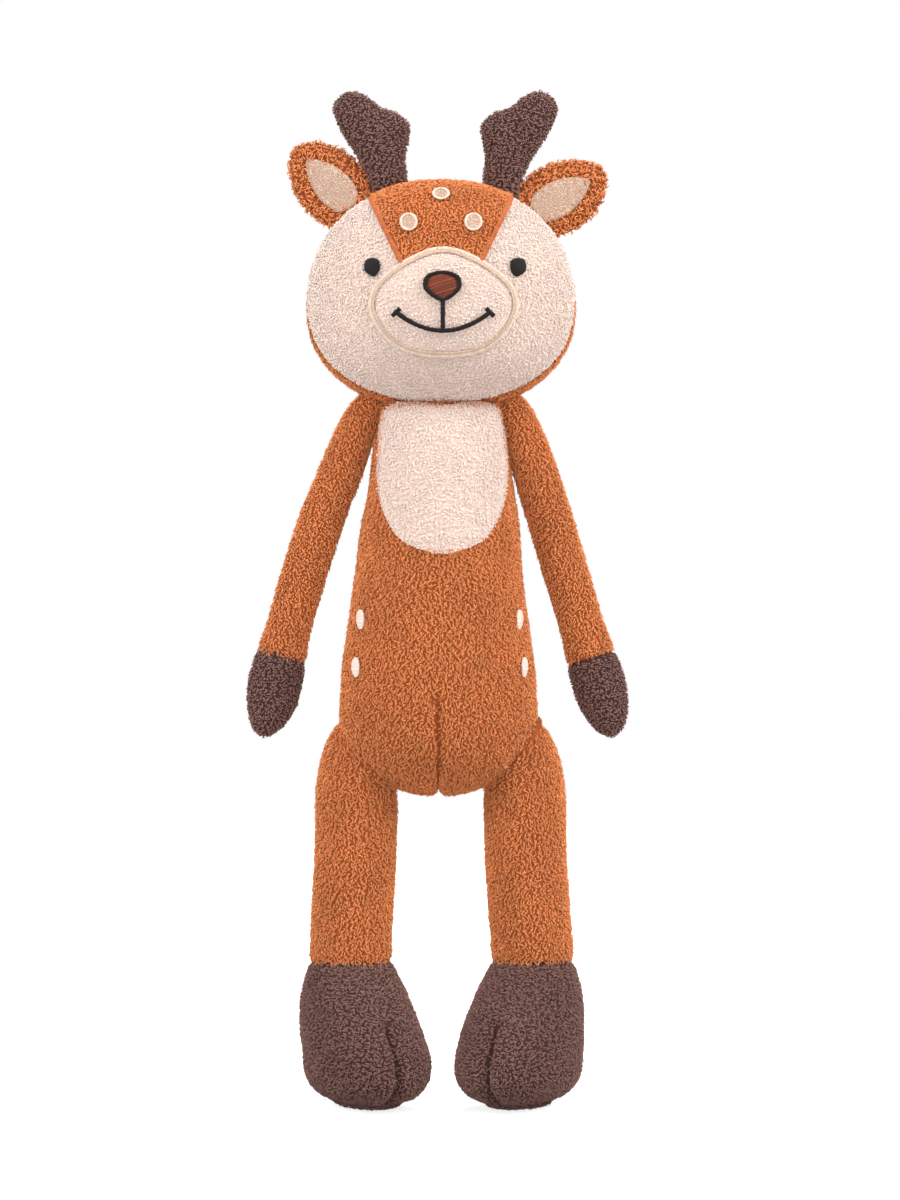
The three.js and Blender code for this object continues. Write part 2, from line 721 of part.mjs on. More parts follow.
function addEar(name, side) {
  const { x, z, normal } = headSeat(ear_above_chin);
  const stand_off = ear_half_thickness + swivel_gap + sewing_gap;
  const out = x + normal.x * stand_off;
  const hinge = new THREE.Vector3(side * out, 0, z + normal.y * stand_off);
  const turn = side * Math.atan2(normal.x, normal.y);
  const lean = side * ear_lean[name];
  const outline = mirroredOutline(ear_outline_shares, ear_half_width, ear_length);
  const middle = new THREE.Vector2(0, ear_length * ear_middle_share);
  const leaned = (swell) => {
    const geometry = pillow(outline, middle, ear_half_thickness + swell).rotateY(lean);
    return solid(geometry).intersect(above(0));
  };
  const root = new THREE.SphereGeometry(1, ...ear_root_facets);
  root.rotateZ(Math.PI / 2).scale(ear_root_half_width, ear_half_thickness, ear_half_thickness);
  const ear = leaned(0).add(solid(root));
  const seated = (made) => moved(made, turn, hinge);
  const front = halfSpace(new THREE.Vector3(0, -sewing_gap / 2, 0), new THREE.Vector3(0, -1, 0));
  const rear = halfSpace(new THREE.Vector3(0, sewing_gap / 2, 0), new THREE.Vector3(0, 1, 0));
  add(`ear_${name}_front`, seated(ear.intersect(front)), rust_fleece);
  add(`ear_${name}_back`, seated(ear.intersect(rear)), rust_fleece);
  const inlay_outline = mirroredOutline(ear_inlay_shares, ear_inlay_half_width, ear_inlay_length);
  const inlay_prism = prism(inlay_outline, 0, ear_half_thickness, -overrun, 0);
  const turned = moved(inlay_prism, lean, new THREE.Vector3());
  const layer = leaned(inlay_gap + thread_height).subtract(leaned(inlay_gap));
  add(`ear_${name}_inlay`, seated(layer.intersect(turned)), pale_satin);
}

// Arms: a sleeve and a hoof cover round one filled core, on a small pad at the shoulder
function addArm(name, side) {
  const centre = shoulderCentre(side);
  const place = (made) => moved(made, -side * arm_spread, centre);
  const form = (amount, around) => solid(ringForm(grown(armRings(), amount, arm_radius), around));
  const shell = form(0, skin.arm).subtract(form(-fleece_thickness, core.arm));
  const cuff = -cuff_share * arm_length;
  const filled = form(-fleece_thickness - filling_gap, core.arm);
  add(`arm_${name}_sleeve`, place(shell.intersect(above(cuff + sewing_gap / 2))), rust_fleece);
  add(`arm_${name}_hoof`, place(shell.intersect(below(cuff - sewing_gap / 2))), brown_fleece);
  add(`arm_${name}_stuffing`, place(filled), stuffing_fibre);

  const arc = (radius) => {
    const points = [];
    for (let i = 0; i <= pad_steps; i++) {
      const turn = (shoulder_pad_half_angle * i) / pad_steps;
      points.push(new THREE.Vector2(radius * Math.sin(turn), radius * Math.cos(turn)));
    }
    return points;
  };
  const profile = [...arc(arm_radius + swivel_gap), ...arc(shoulder_pad_reach).reverse()];
  const pad = new THREE.LatheGeometry(profile, pad_around).rotateZ((side * Math.PI) / 2);
  add(`shoulder_pad_${name}`, solid(pad.translate(centre.x, centre.y, centre.z)), rust_fleece);
}

// Legs: cut away where they meet the torso, so that they swing past its rounded underside
function addLeg(name, side) {
  const wide = torso_half_width + swivel_gap;
  const deep = torso_drop + swivel_gap;
  const saddle_points = [new THREE.Vector2(wide, overrun), new THREE.Vector2(-wide, overrun)];
  for (let i = 0; i <= saddle_steps; i++) {
    const turn = Math.PI + (Math.PI * i) / saddle_steps;
    saddle_points.push(new THREE.Vector2(wide * Math.cos(turn), deep * Math.sin(turn)));
  }
  const saddle = prism(saddle_points, 0, hip_height, -overrun, overrun);
  const form = (amount, around) => legForm(side, amount, around).subtract(saddle);
  const shell = form(0, skin.leg).subtract(legForm(side, -fleece_thickness, core.leg));
  const filled = form(-fleece_thickness - filling_gap, core.leg);
  const hoof_part = (made) => {
    return made.intersect(below(hoof_height - sewing_gap / 2)).intersect(above(sole_thickness + sewing_gap));
  };
  const hoof = hoof_part(shell);
  const toe_side = new THREE.Vector3(Math.cos(foot_turn_in), -side * Math.sin(foot_turn_in), 0);
  const on_axis = new THREE.Vector3(side * hip_spread, 0, 0);
  const half = (way) => {
    const direction = toe_side.clone().multiplyScalar(way);
    return halfSpace(on_axis.clone().addScaledVector(direction, sewing_gap / 2), direction);
  };
  add(`leg_${name}_cover`, shell.intersect(above(hoof_height + sewing_gap / 2)), rust_fleece);
  add(`hoof_${name}_outer_panel`, hoof.intersect(half(side)), brown_fleece);
  add(`hoof_${name}_inner_panel`, hoof.intersect(half(-side)), brown_fleece);
  const outer = legForm(side, 0, skin.leg);
  add(`hoof_${name}_sole`, outer.intersect(above(0)).intersect(below(sole_thickness)), brown_fleece);
  add(`leg_${name}_stuffing`, filled.intersect(above(hoof_height + sewing_gap / 2)), stuffing_fibre);
  add(`hoof_${name}_stuffing`, hoof_part(filled), stuffing_fibre);
}

addTorso();
addNeck();
const head = addHead();
addFace(head);
const head_room = headForm(patch_gap + patch_thickness);
for (const [name, side] of Object.entries(sides)) {
  addAntler(name, side, head_room);
  addEar(name, side);
  addArm(name, side);
  addLeg(name, side);
}

// The origin is on the floor under the middle of the toy's box.
const box = new THREE.Box3().setFromObject(toy);
const middle = box.getCenter(new THREE.Vector3());
toy.position.set(-middle.x, -middle.y, -box.min.z);

export default toy;
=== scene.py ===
# %% [markdown]
# # A plush deer, sewn from curly fleece
#
# The deer is a long-legged soft toy: filled fleece covers, a face sewn and embroidered on,
# dark hooves and antlers of a finer fleece. The imported CAD model gives every place and size,
# so the first step loads it.

import json
import math

import bpy
import numpy as np
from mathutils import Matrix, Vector
from mathutils.bvhtree import BVHTree
from mathutils.geometry import delaunay_2d_cdt


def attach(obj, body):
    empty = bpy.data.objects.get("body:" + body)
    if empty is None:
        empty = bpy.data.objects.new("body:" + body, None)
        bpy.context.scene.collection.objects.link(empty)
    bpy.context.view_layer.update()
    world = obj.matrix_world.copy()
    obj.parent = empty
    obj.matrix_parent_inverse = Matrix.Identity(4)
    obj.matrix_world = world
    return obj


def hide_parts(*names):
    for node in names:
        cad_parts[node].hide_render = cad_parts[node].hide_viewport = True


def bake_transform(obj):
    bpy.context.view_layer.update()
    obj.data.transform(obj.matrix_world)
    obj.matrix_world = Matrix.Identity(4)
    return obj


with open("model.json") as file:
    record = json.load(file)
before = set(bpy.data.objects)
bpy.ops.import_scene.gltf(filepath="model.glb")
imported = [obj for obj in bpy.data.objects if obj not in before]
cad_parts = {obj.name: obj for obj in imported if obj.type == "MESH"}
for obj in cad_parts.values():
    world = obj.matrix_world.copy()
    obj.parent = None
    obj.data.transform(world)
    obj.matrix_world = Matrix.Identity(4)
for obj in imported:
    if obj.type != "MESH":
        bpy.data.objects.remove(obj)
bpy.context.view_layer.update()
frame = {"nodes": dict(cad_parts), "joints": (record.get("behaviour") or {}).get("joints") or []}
MM = 0.001
SHIFT_Y = 1.868  # the CAD model is moved this far back, so that its box is centred
SIDES = {"left": 1, "right": -1}

# %% [markdown]
# ## Camera
#
# The photograph is a straight front view from about one and a half metres, on white.
# A long lens at the toy's middle height gives the same small spread of the toes. Pieces sewn on
# the front are placed as the camera sees them, so places in the picture are measured in the plane
# through the toy's middle.

# %% Camera
PIXEL = 0.39 * MM  # one pixel of the photograph, at the toy
PICTURE_WIDE, PICTURE_HIGH = 900, 1200
TOY_MIDDLE, TOY_FOOT = 441, 1104  # pixels from the left and from the top
DISTANCE = 1.5
SENSOR_HIGH = 36
centre_of_view = Vector(
    ((PICTURE_WIDE / 2 - TOY_MIDDLE) * PIXEL, SHIFT_Y * MM, (TOY_FOOT - PICTURE_HIGH / 2) * PIXEL)
)
camera_data = bpy.data.cameras.new("studio_camera")
camera_data.sensor_fit = "VERTICAL"
camera_data.sensor_height = SENSOR_HIGH
camera_data.lens = SENSOR_HIGH * DISTANCE / (PICTURE_HIGH * PIXEL)
camera = bpy.data.objects.new("studio_camera", camera_data)
bpy.context.scene.collection.objects.link(camera)
camera.location = centre_of_view - Vector((0, DISTANCE, 0))
camera.rotation_euler = (math.pi / 2, 0, 0)
bpy.context.scene.camera = camera
bpy.context.scene.view_settings.view_transform = "Standard"
print("lens", round(camera_data.lens, 1), "mm")


def as_seen(points):
    """Where points lie in the photograph's plane through the toy's middle: x and z in mm."""
    eye = np.array(camera.location) / MM
    off = points - eye
    flat = eye + off * ((SHIFT_Y - eye[1]) / off[:, 1])[:, None]
    return flat[:, 0], flat[:, 2]


# %% [markdown]
# ## Nodes
#
# Materials, the pile and the stitches are all built from nodes. A few helpers add a node, feed
# its sockets by name and give back its output, so that a tree reads like a list of steps.

# %% Node helpers
def feed(tree, socket, value):
    if isinstance(value, bpy.types.NodeSocket):
        tree.links.new(value, socket)
    else:
        socket.default_value = value


def step(tree, kind, settings=None, **sockets):
    """Adds a node, sets its options and feeds its sockets by name with values or links."""
    node = tree.nodes.new(kind)
    for name, value in (settings or {}).items():
        setattr(node, name, value)
    for label, value in sockets.items():
        label = label.replace("_", " ")
        feed(tree, next(s for s in node.inputs if s.name == label and s.enabled), value)
    return node


def output(node, name=""):
    return next(s for s in node.outputs if s.enabled and (not name or s.name == name))


def maths(tree, operation, first, second):
    node = step(tree, "ShaderNodeMath", {"operation": operation})
    for socket, value in zip(node.inputs, (first, second)):
        feed(tree, socket, value)
    return output(node)


def times(tree, first, second):
    return maths(tree, "MULTIPLY", first, second)


def mixed(tree, factor, first, second):
    return output(step(tree, "ShaderNodeMix", {"data_type": "RGBA"}, Factor=factor, A=first, B=second))


def noise(tree, scale, detail=2.0):
    place = output(step(tree, "ShaderNodeTexCoord"), "Object")
    return output(step(tree, "ShaderNodeTexNoise", Vector=place, Scale=scale, Detail=detail), "Fac")


def attribute(tree, name):
    return output(step(tree, "ShaderNodeAttribute", {"attribute_name": name}), "Fac")


def stretched(tree, value, low, high, to_low=0.0, to_high=1.0):
    ends = dict(From_Min=low, From_Max=high, To_Min=to_low, To_Max=to_high)
    return output(step(tree, "ShaderNodeMapRange", Value=value, **ends))


def node_group(name, kind, inputs, outputs):
    """A node group, with the nodes of its inputs and outputs. Both are given as label and kind."""
    group = bpy.data.node_groups.new(name, kind)
    for label, socket_kind in inputs.items():
        group.interface.new_socket(name=label, in_out="INPUT", socket_type=socket_kind)
    for label, socket_kind in outputs.items():
        group.interface.new_socket(name=label, in_out="OUTPUT", socket_type=socket_kind)
    return group, group.nodes.new("NodeGroupInput"), group.nodes.new("NodeGroupOutput")


def new_material(name):
    material = bpy.data.materials.new(name)
    material.use_nodes = True
    material.node_tree.nodes.clear()
    return material, material.node_tree


def place_object(name, data):
    piece = bpy.data.objects.new(name, data)
    bpy.context.scene.collection.objects.link(piece)
    return piece


# %% [markdown]
# ## Floor and light
#
# The floor and the world are white to the camera, and the floor still takes the toy's shadow.
# Large lamps on all sides and a pale world keep the light soft, as in a studio tent.

# %% Floor and world
FLOOR_HALF = 1.9  # metres
FLOOR_GREY, FLOOR_GLOW = 0.55, 0.84
ROOM_LIGHT = 0.22


def white_to_the_camera(tree):
    path = step(tree, "ShaderNodeLightPath")
    return maths(tree, "MAXIMUM", output(path, "Is Camera Ray"), output(path, "Is Glossy Ray"))


floor_paper, tree = new_material("floor_paper")
matt = step(tree, "ShaderNodeBsdfDiffuse", Color=(FLOOR_GREY, FLOOR_GREY, FLOOR_GREY, 1))
glow = step(tree, "ShaderNodeEmission", Strength=times(tree, white_to_the_camera(tree), FLOOR_GLOW))
both = step(tree, "ShaderNodeAddShader")
tree.links.new(output(matt), both.inputs[0])
tree.links.new(output(glow), both.inputs[1])
step(tree, "ShaderNodeOutputMaterial", Surface=output(both))

floor_mesh = bpy.data.meshes.new("floor")
corners = [(FLOOR_HALF * x, FLOOR_HALF * y, 0) for x, y in ((-1, -1), (1, -1), (1, 1), (-1, 1))]
floor_mesh.from_pydata(corners, [], [(0, 1, 2, 3)])
floor_mesh.materials.append(floor_paper)
place_object("floor", floor_mesh)

world = bpy.data.worlds.new("white_room")
bpy.context.scene.world = world
world.use_nodes = True
background = world.node_tree.nodes["Background"]
room_level = stretched(world.node_tree, white_to_the_camera(world.node_tree), 0.0, 1.0, ROOM_LIGHT)
world.node_tree.links.new(room_level, background.inputs["Strength"])
background.inputs["Color"].default_value = (1, 1, 1, 1)
print("floor", 2 * FLOOR_HALF, "m wide")


# %% Soft lamps
def soft_lamp(name, place, size, power):
    lamp = bpy.data.lights.new(name, "AREA")
    lamp.shape = "SQUARE"
    lamp.size = size
    lamp.energy = power
    lamp_object = place_object(name, lamp)
    lamp_object.location = place
    aim = centre_of_view - Vector(place)
    lamp_object.rotation_euler = aim.to_track_quat("-Z", "Y").to_euler()


soft_lamp("right_lamp", (1.3, -0.6, 1.25), 0.8, 28)
soft_lamp("left_lamp", (-1.3, -0.6, 1.15), 0.8, 21)
soft_lamp("front_lamp", (0.0, -0.9, 1.7), 0.8, 6.5)
soft_lamp("low_lamp", (0.0, -1.4, 0.14), 0.7, 8)
soft_lamp("back_lamp", (0.2, 1.4, 1.2), 0.9, 22)
print("lamps:", sorted(lamp.name for lamp in bpy.data.lights if lamp.name.endswith("_lamp")))

# %% [markdown]
# ## Fleece, thread and glitter cloth
#
# Every cover is the same kind of cloth, a knitted back with short curly tufts, in three colours.
# One shader group paints it: the tufts darken towards their roots as painted shade between them,
# full colour at their tips, each tuft a little lighter or darker than the next, and slow patches
# where the pile has been stroked. It reads two attributes that the pile carries, so the bare
# backing gets the dark Root Colour by itself, as painted shade between the tufts.


# %% Colours
def srgb(red, green, blue):
    def linear(v):
        v = v / 255
        return v / 12.92 if v <= 0.04045 else ((v + 0.055) / 1.055) ** 2.4

    return (linear(red), linear(green), linear(blue), 1)


def uneven_colour(tree, colour, variation, patch_scale, patchiness):
    """A colour that is lighter or darker from strand to strand, and in patches of one scale."""
    each = times(tree, maths(tree, "SUBTRACT", attribute(tree, "tuft_shade"), 0.5), variation)
    patches = times(tree, maths(tree, "SUBTRACT", noise(tree, patch_scale), 0.5), patchiness)
    level = maths(tree, "ADD", maths(tree, "ADD", each, patches), 1.0)
    return output(step(tree, "ShaderNodeHueSaturation", Value=level, Color=colour))


def show(tree, colour, roughness, **more):
    """Ends a material: one surface with a colour, a roughness and whatever else it is given."""
    surface = step(tree, "ShaderNodeBsdfPrincipled", Base_Color=colour, Roughness=roughness, **more)
    step(tree, "ShaderNodeOutputMaterial", Surface=output(surface))


PAINT_OUTPUTS = {"Colour": "NodeSocketColor", "Roughness": "NodeSocketFloat"}

# %% Fleece colour group
pile_colour, given, result = node_group(
    "pile_colour",
    "ShaderNodeTree",
    {
        "Tip Colour": "NodeSocketColor",
        "Root Colour": "NodeSocketColor",
        "Tuft Variation": "NodeSocketFloat",
        "Stroked Patches": "NodeSocketFloat",
    },
    PAINT_OUTPUTS,
)
# Each tuft runs from the Root Colour, painted shade between the tufts, to the Tip Colour at its end.
height = stretched(pile_colour, attribute(pile_colour, "pile_height"), 0.0, 0.8)
grown = mixed(pile_colour, height, given.outputs["Root Colour"], given.outputs["Tip Colour"])
variation, patchiness = given.outputs["Tuft Variation"], given.outputs["Stroked Patches"]
varied = uneven_colour(pile_colour, grown, variation, 55.0, patchiness)
pile_colour.links.new(varied, result.inputs["Colour"])
rough = stretched(pile_colour, noise(pile_colour, 900.0), 0.3, 0.7, 0.82, 0.98)
pile_colour.links.new(rough, result.inputs["Roughness"])
print("group", pile_colour.name, "with", len(pile_colour.nodes), "nodes")


# %% Fleece materials
def fleece(name, tip, painted_root_shade, variation, patches, sheen):
    material, tree = new_material(name)
    paint = step(
        tree, "ShaderNodeGroup", {"node_tree": pile_colour},
        Tip_Colour=tip, Root_Colour=painted_root_shade, Tuft_Variation=variation, Stroked_Patches=patches,
    )
    knit = step(tree, "ShaderNodeBump", Strength=0.35, Distance=0.0004, Height=noise(tree, 1400.0, 1.0))
    show(
        tree, output(paint, "Colour"), output(paint, "Roughness"), Normal=output(knit),
        Specular_IOR_Level=0.15, Sheen_Weight=sheen, Sheen_Roughness=0.4, Sheen_Tint=tip,
    )
    return material


# The second colour of each fleece is darker: painted shade at the roots of the tufts and on the bare backing.
rust_fleece = fleece("rust_fleece", srgb(240, 154, 98), srgb(174, 93, 50), 0.3, 0.3, 0.5)
cream_fleece = fleece("cream_fleece", srgb(252, 237, 228), srgb(236, 209, 195), 0.1, 0.12, 0.4)
brown_fleece = fleece("brown_fleece", srgb(146, 110, 102), srgb(76, 52, 48), 0.26, 0.25, 0.6)
print("fleeces:", rust_fleece.name, cream_fleece.name, brown_fleece.name)

# %% [markdown]
# Embroidery thread is shiny. Each stitch is real geometry, so its shader only has to vary from
# strand to strand and in fine patches. The ear inlays and pale spots are a glitter cloth, so fine
# dark flecks, bright flecks that are painted glints, and uneven gloss make it.

# %% Thread materials
strand_colour, given, result = node_group(
    "strand_colour",
    "ShaderNodeTree",
    {"Thread Colour": "NodeSocketColor", "Strand Variation": "NodeSocketFloat"},
    PAINT_OUTPUTS,
)
variation = given.outputs["Strand Variation"]
varied = uneven_colour(strand_colour, given.outputs["Thread Colour"], variation, 2600.0, variation)
strand_colour.links.new(varied, result.inputs["Colour"])
rough = stretched(strand_colour, noise(strand_colour, 1800.0), 0.3, 0.7, 0.36, 0.62)
strand_colour.links.new(rough, result.inputs["Roughness"])


def thread(name, colour, variation):
    material, tree = new_material(name)
    settings = {"node_tree": strand_colour}
    paint = step(tree, "ShaderNodeGroup", settings, Thread_Colour=colour, Strand_Variation=variation)
    show(tree, output(paint, "Colour"), output(paint, "Roughness"), Specular_IOR_Level=0.22)
    return material


black_thread = thread("black_thread", srgb(23, 16, 15), 0.6)
brown_satin = thread("brown_satin", srgb(122, 62, 42), 1.1)
beige_thread = thread("beige_thread", srgb(230, 210, 192), 0.2)
# The tan thread makes a thin darker line just inside the muzzle border: painted shade where the raised border
# meets the muzzle cloth.
shade_line_thread = thread("shade_line_thread", srgb(216, 188, 166), 0.2)
white_thread = thread("white_thread", srgb(242, 226, 212), 0.16)
orange_thread = thread("orange_thread", srgb(190, 106, 61), 0.3)


# %% Glitter cloth
def glitter_cloth(name, ground, painted_glint, dark):
    material, tree = new_material(name)
    fine = stretched(tree, noise(tree, 2300.0, 1.0), 0.36, 0.64)
    # The bright flecks mixed in here are painted glints of the glitter; the fine dark and pale grain is the
    # cloth's own.
    spark = stretched(tree, noise(tree, 2400.0, 0.0), 0.58, 0.72)
    cloth = mixed(tree, fine, dark, ground)
    grain = step(tree, "ShaderNodeBump", Strength=0.5, Distance=0.0002, Height=fine)
    gloss = stretched(tree, spark, 0.0, 1.0, 0.62, 0.3)
    show(tree, mixed(tree, spark, cloth, painted_glint), gloss, Normal=output(grain))
    return material


champagne_glitter = glitter_cloth(
    "champagne_glitter", srgb(192, 160, 138), srgb(228, 204, 185), srgb(154, 122, 101)
)
print("materials:", sorted(m.name for m in bpy.data.materials if m.users))

# %% [markdown]
# ## How the covers are shaped
#
# A sewn and filled cover is a stack of oval rings between two end points. The same rings as in
# the CAD model are made much finer here, drawn in a little so that the pile stands where the
# CAD surface is. Seams pull the cover in, so a crease moves the points near a seam inwards.


# %% Rings to a cover
def smooth_piece(name, points, faces, to_front=False):
    """A smooth mesh of points in metres. A sheet on the front has its faces turned to the front."""
    mesh = bpy.data.meshes.new(name)
    mesh.from_pydata(points, [], faces)
    mesh.update()
    if to_front and np.mean([p.normal.y for p in mesh.polygons]) > 0:
        mesh.flip_normals()
    mesh.shade_smooth()
    return place_object(name, mesh)


def ring_positions(rings, around, roundness=2.0):
    turns = np.linspace(0, 2 * np.pi, around, endpoint=False)
    cos, sin = np.cos(turns), np.sin(turns)
    across = np.sign(cos) * np.abs(cos) ** (2 / roundness)
    deep = np.sign(sin) * np.abs(sin) ** (2 / roundness)
    x, y, z, half_x, half_y = (np.array([ring[i] for ring in rings[1:-1]])[:, None] for i in range(5))
    body = np.stack([x + half_x * across, y + half_y * deep, z + 0 * across], axis=2).reshape(-1, 3)
    ends = np.array([rings[0][:3], rings[-1][:3]])
    return np.vstack([body, ends])


def ring_faces(count, around):
    faces = []
    for i in range(around):
        after = (i + 1) % around
        faces.append((count * around, after, i))
        faces.append((count * around + 1, (count - 1) * around + i, (count - 1) * around + after))
        for k in range(count - 1):
            low, high = k * around, (k + 1) * around
            faces.append((low + i, low + after, high + after, high + i))
    return faces


def cover(name, rings, around, roundness=2.0, place=lambda points: points):
    points = place(ring_positions(rings, around, roundness)) * MM
    return smooth_piece(name, points.tolist(), ring_faces(len(rings) - 2, around))


def drawn_in(rings, amount, slim):
    """The same rings, smaller all round by one amount, in proportion where a ring is slim."""
    low, high = rings[0][2], rings[-1][2]
    middle, shrink = (low + high) / 2, 1 - 2 * amount / (high - low)

    def less(half):
        return half - amount * min(1, half / slim)

    return [(x, y, middle + (z - middle) * shrink, less(hx), less(hy)) for x, y, z, hx, hy in rings]


def smooth_table(table, places):
    """Values between the rows of a table, on a smooth curve through all of them."""
    table = np.array(table, float)
    at, values = table[:, 0], table[:, 1:]
    slopes = np.gradient(values, at, axis=0)
    spot = np.clip(np.searchsorted(at, places, side="right") - 1, 0, len(at) - 2)
    gap = at[spot + 1] - at[spot]
    t = ((places - at[spot]) / gap)[:, None]
    a, b = values[spot], values[spot + 1]
    da, db = slopes[spot] * gap[:, None], slopes[spot + 1] * gap[:, None]
    return (
        a * (2 * t**3 - 3 * t**2 + 1)
        + da * (t**3 - 2 * t**2 + t)
        + b * (3 * t**2 - 2 * t**3)
        + db * (t**3 - t**2)
    )


def vectors_of(values, label):
    flat = np.empty(len(values) * 3)
    values.foreach_get(label, flat)
    return flat.reshape(-1, 3)


def points_of(piece):
    return vectors_of(piece.data.vertices, "co")


def normals_of(piece):
    return vectors_of(piece.data.vertex_normals, "vector")


def set_points(piece, points):
    piece.data.vertices.foreach_set("co", np.ascontiguousarray(points, np.float32).ravel())
    piece.data.update()


def near(distance, width):
    """One on a seam, and falling to nothing within about two widths of it."""
    return np.exp(-((distance / width) ** 2))


def crease(piece, distance, depth, width, where=1.0):
    """Pulls the cover in along a seam: distance holds how far each point is from it, in mm."""
    pull = depth * near(distance, width) * where
    set_points(piece, points_of(piece) - normals_of(piece) * pull[:, None] * MM)


def mark(piece, name, values):
    layer = piece.data.attributes.get(name) or piece.data.attributes.new(name, "FLOAT", "POINT")
    layer.data.foreach_set("value", np.ascontiguousarray(values, np.float32))


# %% [markdown]
# ## Stuffing
#
# Filling presses a cover outwards between its seams. Blender's cloth simulation does that with
# pressure and no gravity: the points on the seams are pinned, the rest swells, and the result is
# kept within a small cap so the sewn shape stays. It is applied to the mesh at once.


# %% Cloth pass
def fill_with_stuffing(piece, held, cap=1.6, frames=14):
    """Swells a cover by cap mm at the most. held is one where a point stays put, and zero elsewhere."""
    before = points_of(piece)
    group = piece.vertex_groups.new(name="seams")
    for i in np.flatnonzero(held > 0.01):
        group.add([int(i)], float(min(1, held[i])), "REPLACE")
    cloth = piece.modifiers.new("stuffing", "CLOTH")
    settings = cloth.settings
    settings.quality = 4
    settings.mass = 0.05
    settings.tension_stiffness = settings.compression_stiffness = 12
    settings.shear_stiffness = 8
    settings.bending_stiffness = 0.6
    settings.use_pressure = True
    settings.uniform_pressure_force = 2.5
    settings.vertex_group_mass = "seams"
    settings.effector_weights.gravity = 0
    cloth.collision_settings.use_collision = False
    scene = bpy.context.scene
    for moment in range(1, frames + 1):
        scene.frame_set(moment)
    swollen = piece.evaluated_get(bpy.context.evaluated_depsgraph_get())
    after = vectors_of(swollen.to_mesh().vertices, "co")
    swollen.to_mesh_clear()
    piece.modifiers.remove(cloth)
    piece.vertex_groups.remove(group)
    scene.frame_set(1)
    move = after - before
    length = np.linalg.norm(move, axis=1, keepdims=True)
    move *= np.minimum(1, cap * MM / np.maximum(length, 1e-9))
    set_points(piece, before + move)
    print(piece.name, "swelled by up to", round(float(length.max() / MM), 2), "mm, cap", cap)


# %% [markdown]
# ## Pile
#
# The pile is what makes the toy look soft, also at its outline. Geometry Nodes scatter one short
# curl over a cover: a bent, tapering strand of a few faces. The points keep a least distance,
# which gives the even but unordered look of knitted fleece. Each curl is combed down and then
# turned aside by chance, and carries its height and a random shade for the shader to read.

# %% One strand, one unit long and wide, lying over along x
STRAND_POINTS = [
    (-0.12, 0, -0.12), (0.1, 0.5, -0.12), (0.1, -0.5, -0.12),
    (0.16, 0, 0.4), (0.36, 0.5, 0.22), (0.36, -0.5, 0.22),
    (0.95, 0, 0.24),
]
STRAND_FACES = [(0, 1, 2), (0, 3, 4, 1), (1, 4, 5, 2), (2, 5, 3, 0), (3, 6, 4), (4, 6, 5), (5, 6, 3)]
strand = smooth_piece("strand", STRAND_POINTS, STRAND_FACES)
mark(strand, "pile_height", [0, 0, 0, 0.75, 0.55, 0.55, 1])
print("strand of", len(STRAND_POINTS), "points")


# %% Geometry Nodes helpers
def point_at(tree, x, y, z):
    return output(step(tree, "ShaderNodeCombineXYZ", X=x, Y=y, Z=z))


def random_value(tree, low, high, seed):
    return output(step(tree, "FunctionNodeRandomValue", {"data_type": "FLOAT"}, Min=low, Max=high, Seed=seed))


def stored(tree, name, data_type="FLOAT"):
    node = step(tree, "GeometryNodeInputNamedAttribute", {"data_type": data_type}, Name=name)
    return output(node, "Attribute")


def standing_on(tree, normal, forward):
    """A turn that stands a piece on the cloth and then points its x along a direction."""
    upright = step(tree, "FunctionNodeAlignRotationToVector", {"axis": "Z"}, Vector=normal)
    settings = {"axis": "X", "pivot_axis": "Z"}
    return output(
        step(tree, "FunctionNodeAlignRotationToVector", settings, Rotation=output(upright), Vector=forward)
    )


def hand_over(tree, planted, material, result):
    """Ends a tree: every copy gets a random shade, becomes real faces and takes the material."""
    shaded = step(
        tree, "GeometryNodeStoreNamedAttribute", {"data_type": "FLOAT", "domain": "INSTANCE"},
        Geometry=output(planted), Name="tuft_shade", Value=random_value(tree, 0.0, 1.0, 3),
    )
    real = step(tree, "GeometryNodeRealizeInstances", Geometry=output(shaded))
    dyed = step(tree, "GeometryNodeSetMaterial", Geometry=output(real), Material=material)
    tree.links.new(output(dyed), result.inputs["Geometry"])
    print("tree", tree.name, "with", len(tree.nodes), "nodes")


# %% The pile tree
DOWN = (0, 0, -1)
POINTS_OFFERED = 3.5  # per square of the spacing, before those too near a neighbour are left out
pile_tree, given, result = node_group(
    "fleece_pile",
    "GeometryNodeTree",
    {
        "Geometry": "NodeSocketGeometry",
        "Tuft Spacing": "NodeSocketFloat",
        "Tuft Length": "NodeSocketFloat",
        "Tuft Width": "NodeSocketFloat",
        "Scatter": "NodeSocketFloat",
        "Seed": "NodeSocketInt",
        "Fleece": "NodeSocketMaterial",
    },
    {"Geometry": "NodeSocketGeometry"},
)
one_strand = step(pile_tree, "GeometryNodeObjectInfo", Object=strand)
spacing, scatter = given.outputs["Tuft Spacing"], given.outputs["Scatter"]
strewn = step(
    pile_tree, "GeometryNodeDistributePointsOnFaces", {"distribute_method": "POISSON"},
    Mesh=given.outputs["Geometry"],
    Distance_Min=spacing,
    Density_Max=maths(pile_tree, "DIVIDE", POINTS_OFFERED, times(pile_tree, spacing, spacing)),
    Density_Factor=stored(pile_tree, "pile_amount"),
    Seed=given.outputs["Seed"],
)
turned = random_value(pile_tree, times(pile_tree, scatter, -1.0), scatter, given.outputs["Seed"])
dip = random_value(pile_tree, -0.45, 0.3, 7)
lean = step(pile_tree, "FunctionNodeEulerToRotation", Euler=point_at(pile_tree, 0.0, dip, turned))
loose = step(
    pile_tree, "FunctionNodeRotateRotation", {"rotation_space": "LOCAL"},
    Rotation=standing_on(pile_tree, output(strewn, "Normal"), DOWN), Rotate_By=output(lean),
)
trim = times(pile_tree, random_value(pile_tree, 0.78, 1.22, 11), stored(pile_tree, "pile_length"))
